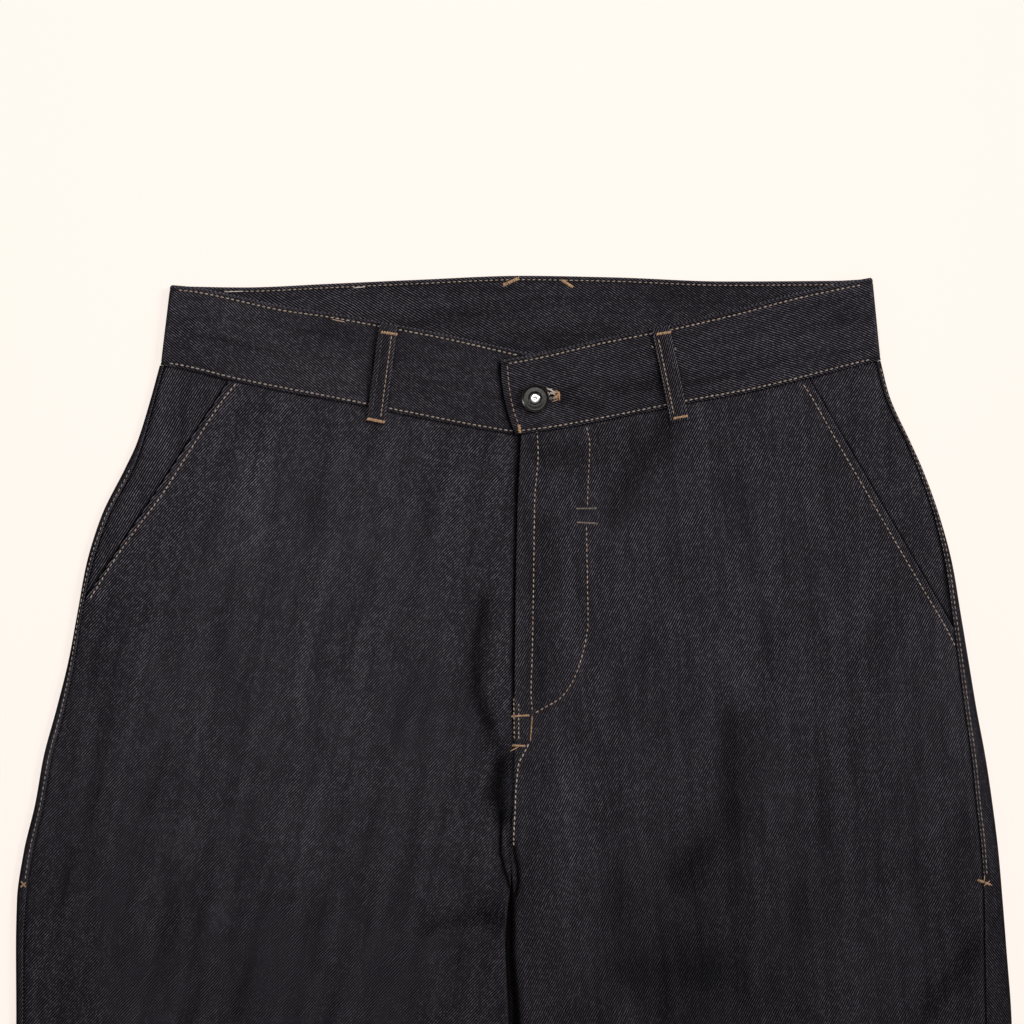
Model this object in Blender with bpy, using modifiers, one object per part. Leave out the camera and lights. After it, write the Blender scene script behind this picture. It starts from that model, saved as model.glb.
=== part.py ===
"""Wide-leg jeans laid flat with the front up, as the cut pieces that a maker sews together.

The row frame has +X to the wearer's left, +Y from the hems to the waist and +Z up from the table.
Sizes here are in millimetres, and mesh_object turns them into metres.
"""

import math
from collections import namedtuple

import bpy
import numpy as np

METRES = 0.001

# Walls and the play between pieces
CLOTH = 1.2
BAND = 2.4
LOOP_CLOTH = 1.6
SEAM_GAP = 0.3

# Heights above the table
FRONT_TOP = 4.4
BAND_TOP = 6.0
FLAP_TOP = 8.8
INSEAM_TOP = 1.7
LEAST_TOP = 2 * CLOTH + SEAM_GAP
UNDERLAP_TOP = LEAST_TOP + 0.05
FACING_TOP = FRONT_TOP - CLOTH - SEAM_GAP

# Rounded edges
INNER_ROLL = 2.2
SIDE_ROLL = FRONT_TOP / 2
BAND_ROLL = BAND_TOP / 2

# Places along the garment
HEM = -556.2
CROTCH = 192.0
ROLL_STARTS = 198.0
ROLL_ENDS = 176.0
FLY_FOOT = 300.0
FLY_UNDERLAP = 9.0
FACING_HIDDEN = 15.0
FACING_FOOT = 338.0

# The button and its hole
BUTTON_X = 11.4
BUTTON_Y = 482.1
BUTTON_RADIUS = 8.5
HOLE_LENGTH = 12.0
HOLE_TILT = math.radians(10.5)
HOLE_RADIUS = 2.2
SLIT_WIDTH = 1.8
ROUND_STEPS = 28

# The outer edge on each side, and how much of the back shows on top beside the side seam
Side = namedtuple("Side", "height right_edge right_strip left_edge left_strip")
SIDES = (
    Side(506.0, -212.8, 2.6, 218.5, 2.6),
    Side(484.0, -218.9, 2.6, 224.3, 2.6),
    Side(455.0, -228.0, 3.6, 237.5, 2.6),
    Side(440.0, -235.0, 5.0, 244.2, 2.7),
    Side(412.0, -248.9, 4.4, 254.3, 3.2),
    Side(383.0, -258.0, 3.6, 262.1, 4.2),
    Side(354.0, -263.4, 2.9, 267.0, 5.1),
    Side(325.0, -268.8, 3.7, 271.8, 5.9),
    Side(296.0, -276.0, 4.9, 276.6, 6.9),
    Side(267.0, -283.8, 5.0, 282.0, 8.3),
    Side(239.0, -288.8, 5.0, 286.2, 9.6),
    Side(210.0, -295.7, 5.4, 289.8, 10.1),
    Side(181.0, -299.8, 5.5, 292.3, 11.1),
    Side(152.0, -300.4, 4.6, 294.6, 12.9),
    Side(109.0, -300.2, 4.4, 297.7, 15.2),
    Side(0.0, -300.8, 4.4, 300.6, 14.0),
    Side(-250.0, -304.5, 4.2, 304.5, 11.0),
    Side(HEM, -310.0, 4.0, 310.0, 8.0),
)

# The inner edge of each front: the fly edge and crotch seam, then the inside of each leg
Inner = namedtuple("Inner", "height right left")
INNERS = (
    Inner(462.0, 2.7, 3.0),
    Inner(414.0, 0.45, 0.75),
    Inner(359.0, -0.75, -0.45),
    Inner(291.0, -1.35, -1.05),
    Inner(250.0, -1.65, -1.35),
    Inner(213.0, -3.35, -3.05),
    Inner(CROTCH, -3.15, -2.2),
    Inner(175.0, -5.2, -1.8),
    Inner(155.0, -6.6, -2.0),
    Inner(129.0, -5.4, -0.2),
    Inner(108.0, -4.6, 1.6),
    Inner(0.0, -8.0, 5.0),
    Inner(-250.0, -22.0, 19.0),
    Inner(HEM, -40.0, 38.0),
)
# The backs are wider between the legs: their inside edges meet for a way below the crotch
BACK_INNERS = (
    Inner(CROTCH, -3.15, -2.85),
    Inner(152.0, -3.15, -2.85),
    Inner(109.0, -1.65, -1.35),
    Inner(60.0, -1.65, -1.35),
    Inner(0.0, -6.0, 3.0),
    Inner(-250.0, -22.0, 19.0),
    Inner(HEM, -40.0, 38.0),
)
# Heights of the rows that the backs, the facings and the fronts share along a side seam, so that their
# edges stay side by side. The fronts have rows halfway between these as far down as FINE_ROWS_END.
UPPER_LEVELS = (478.0, 456.0, 440.0, 424.0, 402.0, 378.0, 353.0, 338.0, 330.0)
LOWER_LEVELS = (
    322.0, 300.0, 278.0, 256.0, 234.0, 212.0, 198.0, CROTCH, 184.0, 172.0, 152.0, 130.0, 109.0,
    60.0, 0.0, -90.0, -180.0, -275.0, -370.0, -465.0, HEM,
)
FINE_ROWS_END = 50.0
SLANTING_ROWS = 12

# A front's columns: at these distances from its inner edge, then evenly spread to its outer one
NEAR_LEFT_INNER = np.array([0.0, 0.13, 0.55, 1.3, 2.2])
NEAR_RIGHT_INNER = np.array([0.0, 0.13, 0.55, 1.3, 2.2, FLY_UNDERLAP, 11.5, 17.0])
FRONT_COLUMNS = 15

CENTRE_BACK_AT_WAIST = 1.0
CENTRE_BACK_AT_CROTCH = -3.0

# The band's edges in plan: its folded top, and the waist seam along its foot
Edge = namedtuple("Edge", "across up")
RIGHT_BAND_TOP = (
    Edge(-207.6, 550.5), Edge(-192.0, 549.0), Edge(-171.0, 544.8), Edge(-139.8, 537.9),
    Edge(-112.8, 534.0), Edge(-83.4, 528.7), Edge(-39.8, 520.4), Edge(-10.2, 513.6), Edge(27.0, 505.0),
)
RIGHT_WAIST_SEAM = (
    Edge(-213.4, 502.2), Edge(-199.8, 500.1), Edge(-167.4, 492.3), Edge(-113.4, 481.8),
    Edge(-66.0, 472.5), Edge(-17.4, 463.2), Edge(-0.6, 460.9), Edge(12.0, 462.2), Edge(27.0, 465.2),
)
LEFT_BAND_TOP = (
    Edge(-9.0, 505.2), Edge(14.4, 509.5), Edge(50.4, 518.1), Edge(97.2, 527.7),
    Edge(130.2, 535.5), Edge(164.4, 544.8), Edge(195.6, 551.7), Edge(214.0, 555.0),
)
LEFT_WAIST_SEAM = (
    Edge(-0.3, 460.5), Edge(21.0, 463.2), Edge(60.0, 470.4), Edge(103.2, 479.2),
    Edge(140.4, 485.9), Edge(172.2, 493.4), Edge(195.6, 499.6), Edge(218.9, 505.2),
)
BACK_BAND_TOP = (
    Edge(-207.6, 550.0), Edge(-164.4, 549.2), Edge(-111.6, 551.4), Edge(-58.8, 553.8),
    Edge(4.0, 556.2), Edge(60.0, 555.2), Edge(126.0, 552.8), Edge(192.0, 553.2), Edge(214.0, 554.4),
)
BACK_WAIST_SEAM = (Edge(-213.4, 502.2), Edge(0.0, 503.6), Edge(218.9, 505.2))
FLAP_END_BULGE = 2.4
FLAP_FREE_FROM = 31.0
FLAP_DOWN_BY = 66.0

# Each slanted pocket mouth, from the waist seam to the height where it meets the side seam
Mouth = namedtuple("Mouth", "across_at_waist foot")
RIGHT_MOUTH = Mouth(-171.8, 361.0)
LEFT_MOUTH = Mouth(175.6, 343.5)

# Belt loops, each from the band's top edge to below the waist seam
Loop = namedtuple("Loop", "name top_across top_up foot_across foot_up")
LOOPS = (
    Loop("belt_loop_right", -76.4, 526.6, -84.2, 467.2),
    Loop("belt_loop_left", 86.6, 524.8, 98.2, 468.4),
)
LOOP_WIDTH = 11.0

# The largest folds: soft ridges (height over 0) and troughs along a bent line in plan
Fold = namedtuple("Fold", "path half_width height")
RIGHT_FOLDS = (
    Fold(((-9.6, 361), (-22.8, 307), (-13.2, 274), (-7.8, 241), (-5.4, 205)), 9.0, -1.5),
    Fold(((-30.0, 240), (-20.0, 200), (-24.0, 140)), 14.0, 0.8),
    Fold(((-150.6, 436), (-172.8, 379)), 10.0, 1.2),
    Fold(((-74.4, 451), (-102.6, 373)), 10.0, 1.0),
    Fold(((-126.0, 250), (-130.0, 190)), 16.0, 0.8),
    Fold(((-148.8, 229), (-165.6, 145), (-172.0, 60)), 11.0, -1.2),
    Fold(((-202.8, 205), (-209.0, 132)), 11.0, -1.1),
    Fold(((-73.0, 181), (-18.0, 166)), 15.0, -1.1),
    Fold(((-232.0, 150), (-240.0, -40), (-238.0, -220)), 18.0, 0.9),
    Fold(((-100.0, 20), (-122.0, -180), (-118.0, -330)), 20.0, -1.2),
    Fold(((-60.0, -60), (-72.0, -260), (-84.0, -470)), 20.0, 1.0),
    Fold(((-190.0, -190), (-206.0, -350), (-204.0, -500)), 20.0, -1.1),
)
LEFT_FOLDS = (
    Fold(((83.4, 455), (62.4, 421), (38.0, 394)), 9.0, -1.3),
    Fold(((108.0, 345), (104.0, 250)), 13.0, 0.9),
    Fold(((141.6, 325), (127.2, 265), (134.4, 229), (104.4, 190)), 12.0, -1.5),
    Fold(((176.0, 330), (172.0, 250), (160.0, 190)), 16.0, 0.7),
    Fold(((29.4, 270), (38.4, 205)), 11.0, 0.9),
    Fold(((56.0, 137), (110.0, 129)), 17.0, -1.2),
    Fold(((274.0, 186), (254.0, 132), (240.0, 95)), 14.0, -1.2),
    Fold(((200.0, 160), (214.0, -20), (210.0, -200)), 18.0, 0.9),
    Fold(((96.0, 40), (118.0, -160), (114.0, -330)), 20.0, -1.2),
    Fold(((60.0, -80), (76.0, -280), (86.0, -460)), 20.0, 1.0),
    Fold(((190.0, -170), (208.0, -330), (206.0, -500)), 20.0, -1.1),
)

RIGHT_FACING_FOLDS = (Fold(((-210.0, 492.0), (-222.6, 450.6), (-236.4, 415.8)), 8.0, 0.8),)
LEFT_FACING_FOLDS = (Fold(((214.0, 480.0), (236.0, 425.0)), 9.0, 0.4),)

DENIM_COLOUR = (0.021, 0.019, 0.025, 1.0)
GUNMETAL_COLOUR = (0.045, 0.042, 0.040, 1.0)
NICKEL_COLOUR = (0.75, 0.74, 0.73, 1.0)


def clear_scene():
    """Removes every object of the file that this runs in."""
    for obj in list(bpy.data.objects):
        bpy.data.objects.remove(obj)


def make_collection(name):
    """A new collection, linked into the scene."""
    collection = bpy.data.collections.new(name)
    bpy.context.scene.collection.children.link(collection)
    return collection


def make_material(name, colour, roughness, metallic):
    """A plain Principled material."""
    material = bpy.data.materials.new(name)
    material.use_nodes = True
    shader = material.node_tree.nodes["Principled BSDF"]
    shader.inputs["Base Color"].default_value = colour
    shader.inputs["Roughness"].default_value = roughness
    shader.inputs["Metallic"].default_value = metallic
    return material


def smooth_step(t):
    """0 below 0, 1 above 1, and an even S between them."""
    t = np.clip(t, 0.0, 1.0)
    return t * t * (3 - 2 * t)


def through(stations, values):
    """A smooth function through the pairs that never overshoots: a cubic between each two stations,
    level at a turning point, with the harmonic mean of the slopes either side elsewhere."""
    stations, values = np.array(stations, float), np.array(values, float)
    order = np.argsort(stations)
    stations, values = stations[order], values[order]
    steps = np.diff(stations)
    slopes = np.diff(values) / steps
    before, after = slopes[:-1], slopes[1:]
    same_way = before * after > 0
    total = np.where(same_way, before + after, 1.0)
    middle = np.where(same_way, 2 * before * after / total, 0.0)
    tangents = np.concatenate([slopes[:1], middle, slopes[-1:]])

    def value_at(where):
        where = np.clip(where, stations[0], stations[-1])
        i = np.clip(np.searchsorted(stations, where) - 1, 0, len(steps) - 1)
        t = (where - stations[i]) / steps[i]
        bend = tangents[i] * (1 - t) - tangents[i + 1] * t
        rise = values[i] + (values[i + 1] - values[i]) * t * t * (3 - 2 * t)
        return rise + steps[i] * t * (1 - t) * bend

    return value_at


def edge_curve(edges):
    """An edge's height in plan as a function of the distance across."""
    return through([edge.across for edge in edges], [edge.up for edge in edges])


right_band_top = edge_curve(RIGHT_BAND_TOP)
right_waist_seam = edge_curve(RIGHT_WAIST_SEAM)
left_band_top = edge_curve(LEFT_BAND_TOP)
left_waist_seam = edge_curve(LEFT_WAIST_SEAM)
back_band_top = edge_curve(BACK_BAND_TOP)
back_waist_seam = edge_curve(BACK_WAIST_SEAM)


def along_side(distances):
    """A line down the garment's side as a function of height: smooth through the table, then drawn straight
    between the shared levels, as the edges of the pieces are."""
    levels = np.array(LOWER_LEVELS[::-1] + UPPER_LEVELS[::-1] + (SIDES[0].height,))
    values = through([side.height for side in SIDES], distances)(levels)
    return lambda height: np.interp(height, levels, values)


right_edge = along_side([side.right_edge for side in SIDES])
left_edge = along_side([side.left_edge for side in SIDES])
right_seam = along_side([side.right_edge + side.right_strip for side in SIDES])
left_seam = along_side([side.left_edge - side.left_strip for side in SIDES])

inner_heights = [inner.height for inner in INNERS]
right_inner = through(inner_heights, [inner.right for inner in INNERS])
left_inner = through(inner_heights, [inner.left for inner in INNERS])
back_heights = [inner.height for inner in BACK_INNERS]
back_right_inner = through(back_heights, [inner.right for inner in BACK_INNERS])
back_left_inner = through(back_heights, [inner.left for inner in BACK_INNERS])


def mouth_line(mouth, waist_seam, seam):
    """The pocket mouth's distance across, as a straight line up the garment from the side seam."""
    top = waist_seam(np.array(mouth.across_at_waist))
    foot_across = seam(mouth.foot) - np.sign(mouth.across_at_waist) * SEAM_GAP
    slope = (mouth.across_at_waist - foot_across) / (top - mouth.foot)

    def across_at(height):
        return foot_across + slope * (height - mouth.foot)

    return across_at


right_mouth = mouth_line(RIGHT_MOUTH, right_waist_seam, right_seam)
left_mouth = mouth_line(LEFT_MOUTH, left_waist_seam, left_seam)


def fold_heights(folds, x, y):
    """The sum of the folds at each point. A fold is a bell across its bent line, and fades over its ends."""
    total = np.zeros_like(x)
    for fold in folds:
        nearest = np.full_like(x, np.inf)
        for start, end in zip(fold.path[:-1], fold.path[1:]):
            run_x, run_y = end[0] - start[0], end[1] - start[1]
            along = ((x - start[0]) * run_x + (y - start[1]) * run_y) / (run_x**2 + run_y**2)
            along = np.clip(along, 0.0, 1.0)
            away = np.hypot(x - start[0] - along * run_x, y - start[1] - along * run_y)
            nearest = np.minimum(nearest, away)
        total += fold.height * np.exp(-((nearest / fold.half_width) ** 2))
    return total


def front_top(x, y, folds, mouth, foot, seam):
    """The height of a front's outside above the table: its level and its folds, which fade beside the
    pocket mouth and the side seam, and never so low that the cloth would sink into the back under it."""
    beside_mouth = np.where(y > foot - 15.0, np.abs(mouth(y)) - np.abs(x), 99.0)
    calm = smooth_step(beside_mouth / 22.0) * smooth_step((np.abs(seam(y)) - np.abs(x)) / 12.0)
    return np.maximum(FRONT_TOP + fold_heights(folds, x, y) * calm, LEAST_TOP + 0.1)


def panel_grid(inner_points, outer_points, near, count, waist_seam):
    """Rows of points in plan from the inner edge to the outer one: first at the distances near, then count
    more evenly spread. The top row follows the waist seam, and that bend fades over the rows below it."""
    (inner_x, inner_y), (outer_x, outer_y) = inner_points, outer_points
    side = np.sign(outer_x - inner_x)[:, None]
    start = inner_x[:, None] + side * near[None, :]
    share = np.linspace(0.0, 1.0, count + 1)[None, 1:]
    rest = start[:, -1:] + (outer_x[:, None] - start[:, -1:]) * share
    x = np.hstack([start, rest])
    across = (x - inner_x[:, None]) / (outer_x - inner_x)[:, None]
    y = inner_y[:, None] + (outer_y - inner_y)[:, None] * across
    bend = waist_seam(x[0]) - SEAM_GAP - y[0]
    fade = 1.0 - smooth_step(np.linspace(0.0, 1.0, 11))
    y[: len(fade)] += fade[:, None] * bend[None, :]
    return x, y


def front_levels(inner_top, outer_top, foot):
    """The heights of a front's rows at its inner and outer edge. Down to the first of the lower levels
    the rows slant, from the pocket mouth or the side seam to the fly. Below that they are level."""
    between = [level for level in UPPER_LEVELS if level < foot]
    outer = np.concatenate([np.linspace(outer_top, foot, SLANTING_ROWS - len(between)), between])
    inner = np.linspace(inner_top, LOWER_LEVELS[0], SLANTING_ROWS + 1)[:-1]
    level = []
    for above, below in zip(LOWER_LEVELS[:-1], LOWER_LEVELS[1:]):
        level.append(above)
        if below > FINE_ROWS_END and above - below > 15.0:
            level.append((above + below) / 2)
    level.append(LOWER_LEVELS[-1])
    return np.concatenate([inner, level]), np.concatenate([outer, level])


def rolled(top, y, away):
    """The height near a leg's inside edge, where the front rolls down to the back in a quarter ellipse."""
    share = np.clip(away / INNER_ROLL, 0.0, 1.0)
    ellipse = np.sqrt(1.0 - (1.0 - share) ** 2)
    how_far = smooth_step((ROLL_STARTS - y) / (ROLL_STARTS - ROLL_ENDS))
    return top - how_far * (top - INSEAM_TOP) * (1.0 - ellipse)


def front_right_surface():
    """The wearer's right front. Its fly edge runs on under the left front, pressed down on to the back."""
    mouth_top = right_waist_seam(np.array(RIGHT_MOUTH.across_at_waist)) - SEAM_GAP
    underlap_end = right_inner(460.0) + FLY_UNDERLAP
    inner_y, outer_y = front_levels(right_waist_seam(underlap_end) - SEAM_GAP, mouth_top, RIGHT_MOUTH.foot)
    lap = FLY_UNDERLAP * smooth_step((inner_y - FLY_FOOT) / 14.0)
    inner_x = right_inner(inner_y) + lap
    outer_x = np.where(outer_y > RIGHT_MOUTH.foot, right_mouth(outer_y), right_seam(outer_y) + SEAM_GAP)
    inner_edge, outer_edge = (inner_x, inner_y), (outer_x, outer_y)
    x, y = panel_grid(inner_edge, outer_edge, NEAR_RIGHT_INNER, FRONT_COLUMNS, right_waist_seam)
    z = front_top(x, y, RIGHT_FOLDS, right_mouth, RIGHT_MOUTH.foot, right_seam)
    beside_edge = 1.0 - smooth_step((inner_x[:, None] - x - FLY_UNDERLAP - 0.5) / 8.0)
    pressed = beside_edge * smooth_step((y - FLY_FOOT + 22.0) / 18.0)
    z = z + (UNDERLAP_TOP - z) * pressed
    return x, y, rolled(z, y, inner_x[:, None] - x)


def front_left_surface():
    """The wearer's left front. Its fly edge lies on the right front and rises to the flap of the band."""
    mouth_top = left_waist_seam(np.array(LEFT_MOUTH.across_at_waist)) - SEAM_GAP
    fly_top = left_waist_seam(left_inner(460.0)) - SEAM_GAP
    inner_y, outer_y = front_levels(fly_top, mouth_top, LEFT_MOUTH.foot)
    inner_x = left_inner(inner_y)
    outer_x = np.where(outer_y > LEFT_MOUTH.foot, left_mouth(outer_y), left_seam(outer_y) - SEAM_GAP)
    inner_edge, outer_edge = (inner_x, inner_y), (outer_x, outer_y)
    x, y = panel_grid(inner_edge, outer_edge, NEAR_LEFT_INNER, FRONT_COLUMNS, left_waist_seam)
    z = front_top(x, y, LEFT_FOLDS, left_mouth, LEFT_MOUTH.foot, left_seam)
    beside_fly = (1.0 - smooth_step((x - 16.0) / 16.0)) * smooth_step((y - FLY_FOOT + 10.0) / 16.0)
    z = z + (np.maximum(z, FRONT_TOP) - z) * beside_fly
    beside_flap = 1.0 - smooth_step((x - FLAP_FREE_FROM) / (FLAP_DOWN_BY - FLAP_FREE_FROM))
    lift = (FLAP_TOP - BAND_TOP) * beside_flap * smooth_step((y - 412.0) / 46.0)
    return x, y, rolled(z + lift, y, x - inner_x[:, None])


def side_section(edge, seam, flat_start):
    """One section of a back: flat on the table, round the side, then over the top to the side seam.
    Returns the distances across and the heights of its outside."""
    outward = np.sign(edge)
    centre = edge - outward * SIDE_ROLL
    flat = flat_start + (centre - flat_start) * np.linspace(0.0, 1.0, 6)[:-1]
    turn = np.radians(np.linspace(-90.0, 90.0, 8))
    round_x = centre + outward * SIDE_ROLL * np.cos(turn)
    round_z = SIDE_ROLL + SIDE_ROLL * np.sin(turn)
    strip = centre + (seam - centre) * np.array([0.5, 1.0])
    across = np.concatenate([flat, round_x, strip])
    height = np.concatenate([flat * 0.0, round_z, strip * 0.0 + FRONT_TOP])
    return across, height


def side_seam_top(seam, front_waist_seam):
    """The height at which a side seam reaches the waist seam."""
    across = seam(503.0)
    return float(min(front_waist_seam(across), back_waist_seam(across))) - SEAM_GAP


def back_surface(edge, seam, leg_inner, front_waist_seam, side):
    """A back: rows from the waist seam to the hem, each a section round the side of the garment."""
    top_in = side_seam_top(seam, front_waist_seam)
    rows_x, rows_y, rows_z = [], [], []
    for level in (top_in,) + UPPER_LEVELS + LOWER_LEVELS:
        above = (level - CROTCH) / (top_in - CROTCH)
        centre = CENTRE_BACK_AT_CROTCH + above * (CENTRE_BACK_AT_WAIST - CENTRE_BACK_AT_CROTCH)
        start = centre + side * SEAM_GAP / 2 if level > CROTCH else float(leg_inner(level))
        across, height = side_section(float(edge(level)), float(seam(level)), start)
        up = np.full_like(across, level)
        if level == top_in:
            up = np.where(height > 0.0, front_waist_seam(across), back_waist_seam(across))
            up = np.minimum(up, back_waist_seam(across)) - SEAM_GAP
        rows_x.append(across)
        rows_y.append(up)
        rows_z.append(height)
    return np.array(rows_x), np.array(rows_y), np.array(rows_z)


def facing_surface(mouth, mouth_x, seam, waist_seam, ridge, side):
    """The pocket facing: it shows between the mouth and the side seam, and runs on under the front.
    It lies lower under the front, and rises to the seam with a soft ridge on the way."""
    inner_top = float(waist_seam(mouth.across_at_waist - side * FACING_HIDDEN)) - SEAM_GAP
    outer_top = side_seam_top(seam, waist_seam)
    outer_y = np.array((outer_top,) + tuple(level for level in UPPER_LEVELS if level >= FACING_FOOT))
    share = (outer_top - outer_y) / (outer_top - FACING_FOOT)
    inner_y = inner_top + (FACING_FOOT - inner_top) * share
    inner_x = mouth_x(inner_y) - side * FACING_HIDDEN
    outer_x = seam(outer_y) - side * SEAM_GAP
    u = np.linspace(0.0, 1.0, 10)[None, :]
    x = inner_x[:, None] + (outer_x - inner_x)[:, None] * u
    y = inner_y[:, None] + (outer_y - inner_y)[:, None] * u
    fade = (1.0 - smooth_step(share * 2.0))[:, None]
    y += fade * (waist_seam(x[:1]) - SEAM_GAP - y[:1])
    shows = side * (x - mouth_x(y)) - 2.0
    z = FACING_TOP + (FRONT_TOP - FACING_TOP) * smooth_step(shows / 30.0)
    return x, y, z + fold_heights(ridge, x, y) * smooth_step(shows / 12.0) * (1.0 - u**6)


def band_surface():
    """The band's outside, one strip from the flap's end round the back to the end under the flap.
    Each section has a point on the folded top edge, a point on the waist seam and two between."""
    rows = []

    def add(top_x, top_y, foot_x, foot_y, z, bulge=0.0):
        share = np.linspace(0.0, 1.0, 4)
        across = top_x + (foot_x - top_x) * share - bulge * 4 * share * (1 - share)
        rows.append((across, top_y + (foot_y - top_y) * share, share * 0.0 + z))

    def add_turn(top_edges, seam_edges, band_top, waist_seam, turns):
        """A half turn round the side of the garment, from the front to the back or the other way."""
        inward = -np.sign(top_edges.across)
        for turn in turns:
            front = (1.0 + math.sin(turn)) / 2
            top_x = top_edges.across + inward * BAND_ROLL * (1.0 - math.cos(turn))
            foot_x = seam_edges.across + inward * BAND_ROLL * (1.0 - math.cos(turn))
            top_y = band_top(top_x) * front + back_band_top(top_x) * (1.0 - front)
            foot_y = waist_seam(foot_x) * front + back_waist_seam(foot_x) * (1.0 - front)
            add(top_x, top_y, foot_x, foot_y, BAND_TOP * front)

    left_top, left_foot = LEFT_BAND_TOP[-1].across - BAND_ROLL, LEFT_WAIST_SEAM[-1].across - BAND_ROLL
    right_top, right_foot = RIGHT_BAND_TOP[0].across + BAND_ROLL, RIGHT_WAIST_SEAM[0].across + BAND_ROLL
    turns = np.radians(np.linspace(90.0, -90.0, 10))
    for share in np.linspace(0.0, 1.0, 20)[:-1]:
        top_x = LEFT_BAND_TOP[0].across + (left_top - LEFT_BAND_TOP[0].across) * share
        foot_x = LEFT_WAIST_SEAM[0].across + (left_foot - LEFT_WAIST_SEAM[0].across) * share
        down = smooth_step((top_x - FLAP_FREE_FROM) / (FLAP_DOWN_BY - FLAP_FREE_FROM))
        z = FLAP_TOP + (BAND_TOP - FLAP_TOP) * down
        bulge = FLAP_END_BULGE * max(0.0, 1.0 - 5.0 * share)
        add(top_x, left_band_top(top_x), foot_x, left_waist_seam(foot_x), z, bulge)
    add_turn(LEFT_BAND_TOP[-1], LEFT_WAIST_SEAM[-1], left_band_top, left_waist_seam, turns)
    for share in np.linspace(0.0, 1.0, 18)[1:-1]:
        top_x = left_top + (right_top - left_top) * share
        foot_x = left_foot + (right_foot - left_foot) * share
        add(top_x, back_band_top(top_x), foot_x, back_waist_seam(foot_x), 0.0)
    add_turn(RIGHT_BAND_TOP[0], RIGHT_WAIST_SEAM[0], right_band_top, right_waist_seam, turns[::-1])
    for share in np.linspace(0.0, 1.0, 20)[1:]:
        top_x = right_top + (RIGHT_BAND_TOP[-1].across - right_top) * share
        foot_x = right_foot + (RIGHT_WAIST_SEAM[-1].across - right_foot) * share
        add(top_x, right_band_top(top_x), foot_x, right_waist_seam(foot_x), BAND_TOP)
    x, y, z = (np.array([row[i] for row in rows]) for i in range(3))
    return x, y, z


def loop_surface(loop, waist_seam):
    """A belt loop's outside: on the band's face, bowed a little for the belt, then down on to the front."""
    share = np.linspace(0.0, 1.0, 15)[:, None]
    width = np.array([-0.5, -0.3, 0.3, 0.5])[None, :] * LOOP_WIDTH
    run_x, run_y = loop.foot_across - loop.top_across, loop.foot_up - loop.top_up
    length = math.hypot(run_x, run_y)
    x = loop.top_across + run_x * share - run_y / length * width
    y = loop.top_up + run_y * share + run_x / length * width
    seam = waist_seam(x)
    on_band = smooth_step((y - seam + 9.0) / 5.5)
    bow = 0.9 * np.sin(np.pi * np.clip((loop.top_up - y) / (loop.top_up - seam), 0.0, 1.0)) ** 2
    under = FRONT_TOP + SEAM_GAP + (BAND_TOP - FRONT_TOP) * on_band + bow + 0.3
    rounded = 0.25 * (np.abs(width) > 0.4 * LOOP_WIDTH)
    return x, y, under + LOOP_CLOTH - rounded


def mesh_object(name, surface, material, collection):
    """A mesh from a grid of points, with its faces turned so that it looks outwards."""
    x, y, z = surface
    rows, columns = x.shape
    points = np.stack([x, y, z], axis=-1).reshape(-1, 3) * METRES
    first = (np.arange(rows - 1)[:, None] * columns + np.arange(columns - 1)[None, :]).reshape(-1)
    faces = np.stack([first, first + 1, first + columns + 1, first + columns], axis=1)
    mesh = bpy.data.meshes.new(name)
    mesh.from_pydata(points.tolist(), [], faces.tolist())
    mesh.update()
    mesh.shade_smooth()
    obj = bpy.data.objects.new(name, mesh)
    obj.data.materials.append(material)
    collection.objects.link(obj)
    return obj


def looks_outwards(obj, first_face_up):
    """Turns every face over if the first one doesn't look the way it should."""
    up = obj.data.polygons[0].normal.z > 0
    if up != first_face_up:
        obj.data.flip_normals()


def cloth_wall(obj, thickness):
    """Gives the outside surface its thickness, inwards."""
    wall = obj.modifiers.new("cloth", "SOLIDIFY")
    wall.thickness = thickness * METRES
    wall.offset = -1.0
    wall.use_rim = True
    wall.use_even_offset = False


def cloth_piece(name, surface, thickness, first_face_up, material, collection):
    """A cloth piece: its outside surface as rows of sections, with a wall's thickness inside it."""
    obj = mesh_object(name, surface, material, collection)
    looks_outwards(obj, first_face_up)
    cloth_wall(obj, thickness)
    return obj


def turned_piece(name, profile, closed, material, collection):
    """A profile of (radius, height) pairs turned about the button's axis."""
    points = [(radius * METRES, 0.0, height * METRES) for radius, height in profile]
    edges = [(i, i + 1) for i in range(len(points) - 1)]
    if closed:
        edges.append((len(points) - 1, 0))
    mesh = bpy.data.meshes.new(name)
    mesh.from_pydata(points, edges, [])
    obj = bpy.data.objects.new(name, mesh)
    obj.location = (BUTTON_X * METRES, BUTTON_Y * METRES, 0.0)
    obj.data.materials.append(material)
    collection.objects.link(obj)
    turn = obj.modifiers.new("turn", "SCREW")
    turn.steps = turn.render_steps = ROUND_STEPS
    turn.use_merge_vertices = True
    turn.merge_threshold = 0.00001
    turn.use_smooth_shade = True
    return obj


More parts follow.
